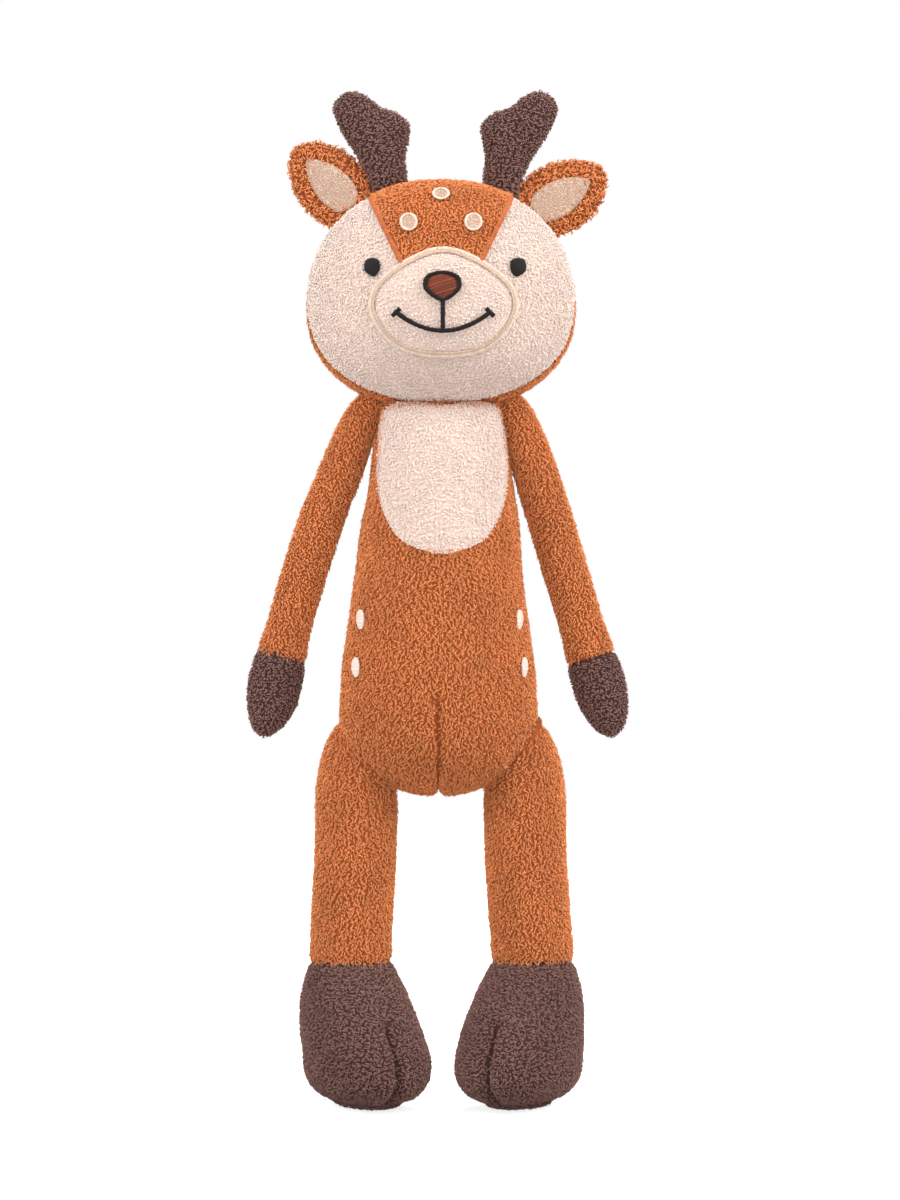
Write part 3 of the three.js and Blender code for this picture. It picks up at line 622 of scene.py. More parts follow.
long = times(pile_tree, trim, given.outputs["Tuft Length"])
planted = step(
    pile_tree, "GeometryNodeInstanceOnPoints",
    Points=output(strewn, "Points"), Instance=output(one_strand, "Geometry"),
    Rotation=output(loose), Scale=point_at(pile_tree, long, given.outputs["Tuft Width"], long),
)
hand_over(pile_tree, planted, given.outputs["Fleece"], result)


# %% Run a tree on a piece and keep its result as a plain mesh
def run_tree(tree, source, name, cloth, **values):
    modifier = source.modifiers.new(tree.name, "NODES")
    modifier.node_group = tree
    sockets = {s.name: s.identifier for s in tree.interface.items_tree if s.in_out == "INPUT"}
    for label, value in values.items():
        modifier[sockets[label.replace("_", " ")]] = value
    source.update_tag()
    graph = bpy.context.evaluated_depsgraph_get()
    mesh = bpy.data.meshes.new_from_object(source.evaluated_get(graph))
    source.modifiers.remove(modifier)
    mesh.name = name
    if not mesh.materials:
        mesh.materials.append(cloth)
    return place_object(name, mesh)


def lay_out_tufts(piece, per_tuft):
    """Gives every tuft its own small cell in the UV map OFBake."""
    mesh = piece.data
    count = len(mesh.vertices) // per_tuft
    cells = max(1, math.ceil(math.sqrt(count)))
    corner = np.empty(len(mesh.loops), np.int64)
    mesh.loops.foreach_get("vertex_index", corner)
    tuft, part = corner // per_tuft, corner % per_tuft
    ring, side = part // 3, part % 3 + (part == per_tuft - 1)
    u = (tuft % cells + 0.2 + 0.3 * side) / cells
    v = (tuft // cells + 0.15 + 0.3 * ring) / cells
    layer = mesh.uv_layers.new(name="OFBake")
    layer.data.foreach_set("uv", np.stack([u, v], 1).astype(np.float32).ravel())
    mesh.uv_layers.active = layer


def pile_on(piece, name, cloth, where, spacing, length, width, seed, scatter=3.14, long=1.0):
    """Grows pile on the points where a mask is one. long is a share of its length, for each point."""
    mark(piece, "pile_amount", np.clip(where, 0, 1) * np.ones(len(piece.data.vertices)))
    mark(piece, "pile_length", long * np.ones(len(piece.data.vertices)))
    sizes = dict(Tuft_Spacing=spacing * MM, Tuft_Length=length * MM, Tuft_Width=width * MM)
    pile = run_tree(pile_tree, piece, name, cloth, **sizes, Scatter=scatter, Seed=seed, Fleece=cloth)
    lay_out_tufts(pile, len(STRAND_POINTS))
    print(name, len(pile.data.vertices) // len(STRAND_POINTS), "tufts")
    return pile

# %% [markdown]
# ## Torso
#
# The torso is a tall egg, widest at the hips and gathered in under the head. Its lower end is
# round about the hip line, so that the legs swing past it. Two back panels and a front panel
# meet in a seam down the middle of the belly and one down each side.

# %% Torso cover
HIP = 149.4  # height of the line that the legs swing about, in mm
TORSO_WIDE, TORSO_DEEP, TORSO_RISE = 39.2, 29.7, 120.6
PILE_ROOM = 1.1  # how far the cloth lies below the outside of its pile
FAR = 99  # given as the distance where there is no seam
TORSO_TABLE = [  # height, half width and half depth, as shares
    (0, 1, 1), (0.155, 0.975, 1), (0.31, 0.911, 0.97), (0.465, 0.847, 0.93), (0.62, 0.8, 0.88),
    (0.776, 0.717, 0.81), (0.87, 0.685, 0.75), (0.935, 0.645, 0.68), (0.975, 0.62, 0.6),
    (0.993, 0.59, 0.52), (1, 0, 0),
]
CHIN_LIFT = 4.0  # how far the top of the cloth rises under the chin
BELLY_SHIFT = -1.0  # the middle of the belly lies this far to the right
BELLY_SEAM_TOP = 162


def torso_rings():
    rings = []
    for turn in np.linspace(0, np.pi / 2, 16)[:-1]:
        size = math.sin(turn)
        low = HIP - TORSO_DEEP * math.cos(turn)
        rings.append((0, SHIFT_Y, low, size * TORSO_WIDE, size * TORSO_DEEP))
    heights = np.concatenate([np.linspace(0, 0.93, 54), np.linspace(0.94, 1, 9)])
    sizes = np.minimum.accumulate(smooth_table(TORSO_TABLE, heights))  # narrower all the way up
    for up, (across, deep) in zip(heights, sizes):
        half_wide, half_deep = max(0, across) * TORSO_WIDE, max(0, deep) * TORSO_DEEP
        rings.append((0, SHIFT_Y, HIP + TORSO_RISE * up, half_wide, half_deep))
    return rings


def torso_drawn_in():
    rings = drawn_in(torso_rings(), PILE_ROOM, TORSO_DEEP)
    heights = [ring[2] for ring in rings]
    to_top = HIP + TORSO_RISE + CHIN_LIFT - heights[-1]
    lift = [max(0, (z - HIP) / TORSO_RISE) ** 3 * to_top for z in heights]
    hang = np.interp(heights, [205, 232], [BELLY_SHIFT, 0])
    return [(x + aside, y, z + up, hx, hy) for (x, y, z, hx, hy), up, aside in zip(rings, lift, hang)]


torso_cover = cover("torso_cover", torso_drawn_in(), 210)
points = points_of(torso_cover) / MM
on_belly = points[:, 1] < SHIFT_Y
from_middle = np.abs(points[:, 0] - BELLY_SHIFT)
belly_seam = np.where(on_belly & (points[:, 2] < BELLY_SEAM_TOP), from_middle, FAR)
back_seam = np.where(~on_belly, from_middle, FAR)
side_seam = np.abs(points[:, 1] - SHIFT_Y)
fill_with_stuffing(torso_cover, near(np.minimum(belly_seam, np.minimum(back_seam, side_seam)), 1.8))
fade = np.clip((BELLY_SEAM_TOP - points[:, 2]) / 8, 0, 1)
crease(torso_cover, belly_seam, 2.4, 1.5, fade)
crease(torso_cover, back_seam, 1.5, 1.8)
crease(torso_cover, side_seam, 0.9, 1.8)
print("torso cover", len(torso_cover.data.polygons), "faces")


# %% [markdown]
# ## Head
#
# The head is a plump cushion, wider than it is high. The cream face panel meets two rust back
# panels in a seam round the head. It runs in front of the widest line at the jaw, where a thin
# edge of rust shows, and behind it at the crown. One cover makes both, marked by that seam.

# %% Head cover
CHIN = HIP + TORSO_RISE + 3.4
HEAD_WIDE, HEAD_DEEP, HEAD_HIGH = 52.8, 38.5, 86.6
HEAD_WIDEST, HEAD_ROUNDNESS = 0.43, 2.2
CHIN_SAG = 3.4  # the chin rests on the chest
SEAM_TILT, SEAM_FORWARD = math.radians(14), 11.5


def head_rings(count=84):
    rings = []
    for turn in np.linspace(0, np.pi, count):
        up = (1 - math.cos(turn)) / 2
        reach = HEAD_WIDEST if up < HEAD_WIDEST else 1 - HEAD_WIDEST
        size = max(0, 1 - (abs(up - HEAD_WIDEST) / reach) ** HEAD_ROUNDNESS) ** (1 / HEAD_ROUNDNESS)
        sag = CHIN_SAG * max(0, 1 - up / HEAD_WIDEST)
        rings.append((0, SHIFT_Y, CHIN + up * HEAD_HIGH - sag, size * HEAD_WIDE, size * HEAD_DEEP))
    return rings


head_cover = cover("head_cover", drawn_in(head_rings(), PILE_ROOM, HEAD_DEEP), 200, HEAD_ROUNDNESS)


def before_face_seam(points):
    """How far points lie in front of the plane of the seam: above zero on the face."""
    across_seam = Vector((0, -math.cos(SEAM_TILT), math.sin(SEAM_TILT)))
    return (points - np.array([0, SHIFT_Y - SEAM_FORWARD, CHIN])) @ np.array(across_seam)


points = points_of(head_cover) / MM
before_seam = before_face_seam(points)
middle_seam = np.where(before_seam < 0, np.abs(points[:, 0]), FAR)
fill_with_stuffing(head_cover, near(np.minimum(np.abs(before_seam), middle_seam), 2.0))
crease(head_cover, before_seam, 1.6, 1.8)
crease(head_cover, middle_seam, 1.4, 1.8)
print("head cover", len(head_cover.data.polygons), "faces")


# %% Surface finder
def surface_of(piece):
    corners = [v.co for v in piece.data.vertices]
    return BVHTree.FromPolygons(corners, [tuple(p.vertices) for p in piece.data.polygons])


def seen_from_front(surface, x, z):
    """The point of a surface that the camera sees at x and z of the photograph's plane, in mm,
    and its outward direction. A place just past the outline slides inwards and down to it."""
    eye = camera.location
    for _ in range(80):
        towards = Vector((x * MM, SHIFT_Y * MM, z * MM)) - eye
        hit, normal, _, _ = surface.ray_cast(eye, towards.normalized())
        if hit is not None:
            return hit, normal
        x, z = x * 0.985, z - 0.15
    raise ValueError("a sewn-on piece lies off its cover")


def on_front(surface):
    return lambda point: seen_from_front(surface, point[0], point[1])


head_surface = surface_of(head_cover)
torso_surface = surface_of(torso_cover)

# %% [markdown]
# ## Neck, arms and legs
#
# The neck is only a short round plug of fleece between the torso and the chin. An arm is a soft
# tube with a round end at the shoulder and a dark mitten sewn on at the cuff. A leg is a wider
# tube that ends in a big hoof, with a seam over the toe. The top of a leg is pressed hollow by
# the round torso.

# %% Neck cover
NECK_HALF_HIGH, NECK_HALF_WIDE = 10.5, 11.5


def joint(name):
    return next(j for j in frame["joints"] if j["name"] == name)


def joint_place(name):
    return np.array(joint(name)["pos_m"]) / MM


neck_place = Vector(joint("head_turn")["pos_m"]) / MM
neck_rings = []
for turn in np.linspace(0, np.pi, 18):
    half = NECK_HALF_WIDE * math.sin(turn)
    neck_rings.append((0, neck_place.y, neck_place.z - NECK_HALF_HIGH * math.cos(turn), half, half))
neck_cover = cover("neck_cover", neck_rings, 40)
print("neck cover", len(neck_cover.data.polygons), "faces")

# %% Arm covers
ARM_LONG, ARM_THICK = 124.7, 9.3
CUFF = 0.73  # the share of the arm above the hand
ARM_SPREAD, SHOULDER_RISE = math.radians(16.6), 17
ARM_HANG = {  # how far an arm lies outwards of the straight line, at heights, in mm
    "left": [(150, -2.4), (180, -2.2), (230, -2.2), (250, -2.4), (262, -2.8), (278, -4.6)],
    "right": [(153, 0), (165, 1), (180, 2), (205, 2.4), (230, 1.8), (245, 0), (262, -1.2), (278, -3.8)],
}
ARM_TABLE = [  # way down from the shoulder, half width and half depth, as shares
    (0, 0.86, 0.93), (0.1, 0.95, 0.98), (0.2, 0.98, 0.98), (0.45, 0.98, 0.98), (0.68, 1, 1),
    (0.76, 1.12, 0.98), (0.83, 1.16, 1), (0.88, 1.1, 0.95), (0.925, 0.94, 0.81), (0.965, 0.66, 0.57),
    (0.99, 0.31, 0.27), (1, 0, 0),
]


def arm_rings():
    shares = np.linspace(1, 0, 74)
    rings = [
        (0, 0, -ARM_LONG * along, max(0, wide) * ARM_THICK, max(0, deep) * ARM_THICK)
        for along, (wide, deep) in zip(shares, smooth_table(ARM_TABLE, shares))
    ]
    for turn in np.linspace(0, np.pi / 2, 12)[1:]:
        size = ARM_THICK * max(0, math.cos(turn)) ** 0.8
        rings.append((0, 0, SHOULDER_RISE * math.sin(turn), 0.86 * size, 0.93 * size))
    return rings


def turned_about_y(points, angle):
    cos, sin = math.cos(angle), math.sin(angle)
    x, y, z = points.T
    return np.stack([cos * x + sin * z, y, cos * z - sin * x], 1)


def hung(points, side, table):
    """Limbs hang a little unevenly: points move outwards by the table's amount for their height."""
    heights, shifts = np.array(table, float).T
    return points + np.outer(side * np.interp(points[:, 2], heights, shifts), (1, 0, 0))


def arm_placer(name, side):
    def place(points):
        straight = turned_about_y(points, -side * ARM_SPREAD) + joint_place(f"arm_{name}_swing")
        return hung(straight, side, ARM_HANG[name])

    return place


arm_covers, arm_along = {}, {}
for name, side in SIDES.items():
    rings = drawn_in(arm_rings(), PILE_ROOM, ARM_THICK)
    arm_cover = cover(f"arm_{name}_cover", rings, 60, place=arm_placer(name, side))
    from_shoulder = points_of(arm_cover) / MM - joint_place(f"arm_{name}_swing")
    arm_along[name] = -turned_about_y(from_shoulder, side * ARM_SPREAD)[:, 2] / ARM_LONG
    from_cuff = (arm_along[name] - CUFF) * ARM_LONG
    fill_with_stuffing(arm_cover, near(from_cuff, 2), cap=1.0, frames=10)
    crease(arm_cover, from_cuff, 0.9, 1.5)
    arm_covers[name] = arm_cover
print("arm covers", [len(c.data.polygons) for c in arm_covers.values()])

# %% Leg covers
LEG_THICK, LEG_ASIDE = 16.2, 33
FOOT_LONG, FOOT_WIDE, HOOF_HIGH = 66, 47, 56
CROWN_TOP, CROWN_HIGH = 152, 34
SOLE_ROUND, SOLE_SEAM, TOE_SEAM_TOP = 15, 3.2, 36  # heights in mm
TOE_TURN = math.radians(24)
SOLE_FORWARD = 0.158  # the middle of the sole lies this share of the foot before the ankle
FOOT_TABLE = [  # height, how far forward, half length and half width, as shares
    (0, SOLE_FORWARD, 0.445, 0.413), (0.105, 0.166, 0.49, 0.477), (0.263, 0.169, 0.5, 0.5),
    (0.44, 0.154, 0.48, 0.496), (0.614, 0.121, 0.43, 0.472), (0.79, 0.068, 0.354, 0.432),
    (0.912, 0.027, 0.29, 0.381),
]


def leg_rings():
    long, wide = LEG_THICK / FOOT_LONG, LEG_THICK / FOOT_WIDE
    ankle = [(1.0, 0.004, long + 0.005, wide + 0.012), (1.12, 0, long, wide), (1.3, 0, long, wide)]
    table = FOOT_TABLE + ankle
    rings = [(0, -SOLE_FORWARD * FOOT_LONG, 0, 0, 0)]
    for size, up in ((0.3, 0.0), (0.52, 0.15), (0.64, 0.8), (0.71, 1.9)):
        rings.append((0, -SOLE_FORWARD * FOOT_LONG, up, size * 0.413 * FOOT_WIDE, size * 0.445 * FOOT_LONG))
    heights = np.linspace(0.06, 1.2, 44)
    for up, (forward, long, wide) in zip(heights, smooth_table(table, heights)):
        edge = math.sqrt(1 - 0.66 * max(0, 1 - up * HOOF_HIGH / SOLE_ROUND) ** 2)  # round at the sole
        half_wide, half_long = edge * wide * FOOT_WIDE, edge * long * FOOT_LONG
        rings.append((0, -forward * FOOT_LONG, up * HOOF_HIGH, half_wide, half_long))
    crown_foot = CROWN_TOP - CROWN_HIGH
    for z in np.linspace(rings[-1][2] + 1.5, crown_foot, 30)[:-1]:
        rings.append((0, 0, z, LEG_THICK, LEG_THICK))
    for turn in np.linspace(0, np.pi / 2, 16):
        size = LEG_THICK * max(0, math.cos(turn))
        rings.append((0, 0, crown_foot + CROWN_HIGH * math.sin(turn), size, size))
    return rings


LEG_HANG = {  # as ARM_HANG
    "left": [
        (0, 1.4), (20, 1.8), (30, 2.6), (40, 3.3), (50, 3.1), (60, 2.6), (68, 2), (96, 0), (125, -0.4),
        (145, -0.7),
    ],
    "right": [
        (0, 0), (20, 0.2), (30, 1.9), (40, 2.7), (50, 2.6), (60, 2.1), (68, 2), (96, 0.4), (115, 0),
    ],
}


def leg_placer(name, side):
    def place(points):
        cos, sin = math.cos(-side * TOE_TURN), math.sin(-side * TOE_TURN)
        x, y, z = points.T
        straight = np.stack([cos * x - sin * y + side * LEG_ASIDE, sin * x + cos * y + SHIFT_Y, z], 1)
        return hung(straight, side, LEG_HANG[name])

    return place


def pressed_by_torso(points, room):
    """Points inside the round lower torso move straight out to its surface, plus some room."""
    wide, deep = TORSO_WIDE + room, TORSO_DEEP + room
    middle = np.array([0, SHIFT_Y, HIP])
    off = points - middle
    size = np.sqrt((off[:, 0] / wide) ** 2 + (off[:, 1] / deep) ** 2 + (off[:, 2] / deep) ** 2)
    grown = np.where(size < 1, 1 / np.maximum(size, 0.2), 1)
    return middle + off * grown[:, None]


leg_covers, leg_seams = {}, {}
for name, side in SIDES.items():
    rings = drawn_in(leg_rings(), PILE_ROOM, LEG_THICK)
    rings = [(x, y, max(z, 0.6), hx, hy) for x, y, z, hx, hy in rings]
    leg_cover = cover(f"leg_{name}_whole_cover", rings, 110, place=leg_placer(name, side))
    points = points_of(leg_cover) / MM
    points = hung(points, -side, LEG_HANG[name])  # seams are measured on the straight leg
    toe = np.array([math.cos(TOE_TURN), -side * math.sin(TOE_TURN)])
    across_foot = (points[:, :2] - [side * LEG_ASIDE, SHIFT_Y]) @ toe
    hoof = points[:, 2] < HOOF_HIGH - 2
    toe_seam = np.where(hoof & (points[:, 2] > 3), np.abs(across_foot), FAR)
    ankle = points[:, 2] - HOOF_HIGH
    sole_edge = np.where(points[:, 2] < 12, points[:, 2] - SOLE_SEAM, FAR)
    nearest = np.minimum(np.minimum(toe_seam, np.abs(ankle)), np.abs(sole_edge))
    held = np.maximum(near(nearest, 2), (points[:, 2] < 6) * 1.0)
    fill_with_stuffing(leg_cover, held, cap=1.2, frames=10)
    toe_seam = np.where(points[:, 2] < TOE_SEAM_TOP, toe_seam, FAR)
    fade = np.clip((TOE_SEAM_TOP + 1 - points[:, 2]) / 6, 0, 1)
    crease(leg_cover, toe_seam, 3.4, 1.9, fade)
    crease(leg_cover, ankle, 1.3, 1.7)
    crease(leg_cover, sole_edge, 0.9, 1.5)
    set_points(leg_cover, pressed_by_torso(points_of(leg_cover) / MM, -0.8) * MM)
    leg_covers[name], leg_seams[name] = leg_cover, toe_seam
print("leg covers", [len(c.data.polygons) for c in leg_covers.values()])


# %% [markdown]
# ## Ears and antlers
#
# Both are flat shapes, sewn round their edge: an ear is two layers with nothing between them, an
# antler is filled until it is nearly round. Rings of the outline, each smaller and higher than
# the last, make such a pillow from a drawn outline.

# %% Pillow maker
def rounded(points, per_gap=8):
    """A smooth closed curve through the points, evenly paced by the gaps between them."""
    points = np.array(points, float)
    count = len(points)
    curve = []
    for i in range(count):
        around = [points[(i + k) % count] for k in (-1, 0, 1, 2)]
        knots = [0.0]
        for a, b in zip(around, around[1:]):
            knots.append(knots[-1] + max(1e-6, float(np.linalg.norm(b - a)) ** 0.5))
        for t in np.linspace(knots[1], knots[2], per_gap, endpoint=False):
            level = [
                (around[k] * (knots[k + 1] - t) + around[k + 1] * (t - knots[k])) / (knots[k + 1] - knots[k])
                for k in range(3)
            ]
            level = [
                (level[k] * (knots[k + 2] - t) + level[k + 1] * (t - knots[k])) / (knots[k + 2] - knots[k])
                for k in range(2)
            ]
            curve.append((level[0] * (knots[2] - t) + level[1] * (t - knots[1])) / (knots[2] - knots[1]))
    return np.array(curve)


def mirrored(shares, half_wide, high):
    right = [(x * half_wide, z * high) for x, z in shares]
    left = [(-x, z) for x, z in reversed(right) if x > 0]
    return rounded(right + left)


def pillow_cover(name, outline, middle, half_thick, place, rings=9):
    outline, middle = np.array(outline), np.array(middle)
    count = len(outline)
    x, z = outline.T
    if np.sum(x * np.roll(z, -1) - np.roll(x, -1) * z) < 0:
        outline = outline[::-1]
    shares = np.linspace(1, 0, rings + 1)[1:-1]
    flat = [(p[0], 0, p[1]) for p in outline]
    faces = []
    for way in (-1, 1):
        before = 0
        for share in shares:
            rise = way * half_thick * math.sqrt(1 - share**3)
            start = len(flat)
            for x, z in middle + (outline - middle) * share:
                flat.append((x, rise, z))
            for i in range(count):
                after = (i + 1) % count
                quad = (before + i, before + after, start + after, start + i)
                faces.append(quad if way < 0 else quad[::-1])
            before = start
        pole = len(flat)
        flat.append((middle[0], way * half_thick, middle[1]))
        for i in range(count):
            tri = (before + i, before + (i + 1) % count, pole)
            faces.append(tri if way < 0 else tri[::-1])
    return smooth_piece(name, (place(np.array(flat, float)) * MM).tolist(), faces)


# %% Ear covers
EAR_LONG, EAR_HALF_WIDE, EAR_THIN = 33, 14.8, 3.4
EAR_LEAN = {"left": math.radians(18), "right": math.radians(2)}
EAR_SHIFT = {  # to where the photograph has them
    "left": np.array([-3.6, 0, -3.0]),
    "right": np.array([5.0, 0, -0.5]),
}
EAR_OUTLINE = [(0.5, -0.28), (0.85, 0), (1, 0.32), (0.88, 0.62), (0.5, 0.88), (0, 1)]


def ear_axis(name):
    return Vector(joint(f"ear_{name}_flap")["axis"])


def on_ear(points, name, side):
    """Points of an upright ear at the origin, turned and moved to where the ear is sewn on."""
    axis = ear_axis(name)
    turn = side * math.atan2(abs(axis.z), abs(axis.x)) + side * EAR_LEAN[name]
    return turned_about_y(points, turn) + joint_place(f"ear_{name}_flap") + EAR_SHIFT[name]


def ear_placer(name, side):
    def place(points):
        cup = np.array(points)
        cup[:, 1] += 0.012 * cup[:, 0] ** 2 * np.clip(cup[:, 2] / EAR_LONG + 0.3, 0, 1)  # edges curl back
        return on_ear(cup, name, side)

    return place


ear_outline = mirrored(EAR_OUTLINE, EAR_HALF_WIDE - 1.5, EAR_LONG - 1.5)
ear_middle = (0, EAR_LONG * 0.35)
ear_covers = {}
for name, side in SIDES.items():
    ear_covers[name] = pillow_cover(
        f"ear_{name}_cover", ear_outline, ear_middle, EAR_THIN - 1.3, ear_placer(name, side)
    )
print("ears", [len(c.data.polygons) for c in ear_covers.values()])

# %% Antler covers
HEAD_TOP = CHIN + HEAD_HIGH
ANTLER_HIGH, ANTLER_WIDE, ANTLER_HALF_THICK = 41, 31, 6.8
ANTLER_ASIDE, ANTLER_SHIFT, ANTLER_SUNK = 20.6, 1.7, 3.2
ANTLER_OUTLINE = [
    (0.24, -0.05), (0.39, 0.24), (0.58, 0.46), (0.72, 0.65), (0.77, 0.82), (0.57, 0.95), (0.34, 0.9),
    (0.14, 0.78), (-0.06, 0.74), (-0.23, 0.63), (-0.23, 0.5), (-0.18, 0.3), (-0.21, 0.08),
    (-0.2, -0.22), (0.22, -0.22),
]


def inset_outline(outline, amount):
    low, high = outline.min(0), outline.max(0)
    middle = (low + high) / 2
    return middle + (outline - middle) * (1 - 2 * amount / (high - low))


antler_covers = {}
for name, side in SIDES.items():
    outline = rounded([(side * x * ANTLER_WIDE, z * ANTLER_HIGH) for x, z in ANTLER_OUTLINE], per_gap=5)
    outline = inset_outline(outline, PILE_ROOM)
    place = np.array([side * ANTLER_ASIDE + ANTLER_SHIFT, SHIFT_Y, HEAD_TOP - ANTLER_SUNK])
    antler_covers[name] = pillow_cover(
        f"antler_{name}_cover",
        outline,
        (side * 0.16 * ANTLER_WIDE, 0.49 * ANTLER_HIGH),
        ANTLER_HALF_THICK - PILE_ROOM,
        lambda points, at=place: points + at,
    )
print("antlers", [len(c.data.polygons) for c in antler_covers.values()])

# %% [markdown]
# ## Where each fleece grows
#
# The covers are whole, so masks say where the rust, cream and brown pile grow: a number at each
# point, from 0 for none to 1 for full pile, and a second one for its length. The face is cream up
# to its seam, and the forehead patch between its two slanting edges is rust again.

# %% Outlines of the sewn-on pieces, across and up, in mm
MUZZLE_FOOT = CHIN + 19
MUZZLE_OUTLINE = [
    (0, 0), (0.47, 0.043), (0.69, 0.12), (0.85, 0.23), (0.96, 0.355), (1, 0.49), (0.94, 0.63),
    (0.8, 0.74), (0.6, 0.846), (0.39, 0.925), (0.17, 0.985), (0, 1),
]
MUZZLE_HALF_WIDE, MUZZLE_HIGH = 27.2, 39.2
BIB_OUTLINE = [(0, 0), (0.62, 0.085), (0.9, 0.27), (1, 0.47), (0.99, 0.72), (0.85, 1), (0, 1.02)]
FACE_MIDDLE = 1.0  # the face looks a little to its left
BIB_HALF_WIDE, BIB_HIGH, BIB_MIDDLE, BIB_FOOT = 24.7, 56.6, 0.5, 214.8
muzzle_outline = mirrored(MUZZLE_OUTLINE, MUZZLE_HALF_WIDE, MUZZLE_HIGH)
muzzle_outline = muzzle_outline + np.array([FACE_MIDDLE, MUZZLE_FOOT + 0.7])
bib_outline = mirrored(BIB_OUTLINE, BIB_HALF_WIDE, BIB_HIGH) + np.array([BIB_MIDDLE, BIB_FOOT])
WEDGE_FOOT, WEDGE_BROW = CHIN + 54.5, CHIN + 80
FOOT_HALF, BROW_HALF = 14.4, 26.4


def wedge_half(z):
    """Half the width of the forehead patch at a height."""
    return FOOT_HALF + (BROW_HALF - FOOT_HALF) * (z - WEDGE_FOOT) / (WEDGE_BROW - WEDGE_FOOT)


def inside_outline(outline, x, z):
    """Which points lie inside a closed outline, found by counting the edges that a ray crosses."""
    inside = np.zeros(len(x), bool)
    for (ax, az), (bx, bz) in zip(outline, np.roll(outline, -1, 0)):
        crosses = (az > z) != (bz > z)
        at = ax + (z - az) * (bx - ax) / (bz - az + 1e-12)
        inside ^= crosses & (x < at)
    return inside


def far_from_edge(outline, x, z):
    """How far points lie from an outline, in mm."""
    gaps = np.hypot(x[:, None] - outline[None, :, 0], z[:, None] - outline[None, :, 1])
    return gaps.min(1)


def smooth_step(values, low, high):
    t = np.clip((values - low) / (high - low), 0, 1)
    return t * t * (3 - 2 * t)


def paint(piece, materials, choice):
    """choice gives a material's number for each point; a face takes that of its first corner."""
    for material in materials:
        piece.data.materials.append(material)
    first = [polygon.vertices[0] for polygon in piece.data.polygons]
    piece.data.polygons.foreach_set("material_index", np.asarray(choice)[first].astype(np.int32))


# %% Sewn-on patches
def patch_grid(outline, cell):
    """Points and triangles that fill a closed outline."""
    low, high = outline.min(0), outline.max(0)
    columns, rows = np.arange(low[0], high[0], cell), np.arange(low[1], high[1], cell)
    inner = np.array([(x, z) for x in columns for z in rows]) + 0.37 * cell
    shrunk = low + (high - low) / 2 + (outline - (low + high) / 2) * 0.97
    inner = inner[inside_outline(shrunk, inner[:, 0], inner[:, 1])]
    flat = [Vector(p) for p in outline] + [Vector(p) for p in inner]
    count = len(outline)
    edges = [(i, (i + 1) % count) for i in range(count)]
    points, _, faces, *_ = delaunay_2d_cdt(flat, edges, [], 1, 1e-6)
    return np.array([tuple(p) for p in points]), [tuple(f) for f in faces]


def lay_patch(name, outline, find, lift, cell=1.6):
    """A sheet of cloth laid on a cover. find gives the place and the normal for a point of it."""
    flat, faces = patch_grid(outline, cell)
    spots = []
    for point in flat:
        hit, normal = find(point)
        spots.append(tuple(hit + normal * lift * MM))
    return smooth_piece(name, spots, faces, to_front=True)


def give_thickness(piece, thick):
    wall = piece.modifiers.new("wall", "SOLIDIFY")
    wall.thickness = thick * MM
    wall.offset = -1
    graph = bpy.context.evaluated_depsgraph_get()
    solid_mesh = bpy.data.meshes.new_from_object(piece.evaluated_get(graph))
    piece.modifiers.remove(wall)
    piece.data = solid_mesh


on_head, on_torso = on_front(head_surface), on_front(torso_surface)
chest_bib = lay_patch("chest_bib_cloth", bib_outline, on_torso, 0.7)
muzzle_patch = lay_patch("muzzle_cloth", muzzle_outline, on_head, 0.9)
print("patches", len(chest_bib.data.polygons), len(muzzle_patch.data.polygons))


# %% Forehead patch, laid over the top of the head
def from_inside(x, angle):
    start = Vector((x * MM, SHIFT_Y * MM, (CHIN + 40) * MM))
    hit, normal, _, _ = head_surface.ray_cast(start, Vector((0, -math.cos(angle), math.sin(angle))))
    return hit, normal


def over_brow(point):
    """A place on the head, from a share of the wedge's half width and an angle over the brow."""
    across, angle = point
    x = across * 20
    for _ in range(6):
        hit, _ = from_inside(x, angle)
        x = across * wedge_half(as_seen(np.array([hit]) / MM)[1][0])
    return from_inside(x, angle)


def forehead_mesh(name, lift, columns=34, rows=40):
    spots = []
    for angle in np.linspace(math.radians(4), math.radians(104), rows):
        for across in np.linspace(-1, 1, columns):
            hit, normal = over_brow((across, angle))
            spots.append(tuple(hit + normal * lift * MM))
    faces = [
        (r * columns + c, r * columns + c + 1, (r + 1) * columns + c + 1, (r + 1) * columns + c)
        for r in range(rows - 1)
        for c in range(columns - 1)
    ]
    return smooth_piece(name, spots, faces, to_front=True)


forehead_patch = forehead_mesh("forehead_cloth", 0.7)
on_forehead = on_front(surface_of(forehead_patch))
on_muzzle = on_front(surface_of(muzzle_patch))
print("forehead patch", len(forehead_patch.data.polygons), "faces")

# %% Masks on the torso and the head
# Above the bib, where the chin rests, no pile grows, so the bare cloth there shows the darker Root Colour:
# painted shade under the chin.
BARE_LOW, BARE_HIGH, BARE_HALF_WIDE = 266, 270.8, 20.5  # above the bib, where the chin rests
points = points_of(torso_cover) / MM
on_belly = points[:, 1] < SHIFT_Y
seen_x, seen_z = as_seen(points)
under_bib = inside_outline(inset_outline(bib_outline, 1.0), seen_x, seen_z)
under_chin = (seen_z > BARE_LOW) & (seen_z < BARE_HIGH) & (np.abs(seen_x) < BARE_HALF_WIDE)
# Beside the seams the bare cloth shows the same painted shade as a dark line in the crease.
beside_seam = (np.minimum(belly_seam, back_seam) < 0.6) | (side_seam < 0.5)
torso_rust = np.where(((under_bib | under_chin) & on_belly) | beside_seam, 0, 1.0)
torso_cover.data.materials.append(rust_fleece)

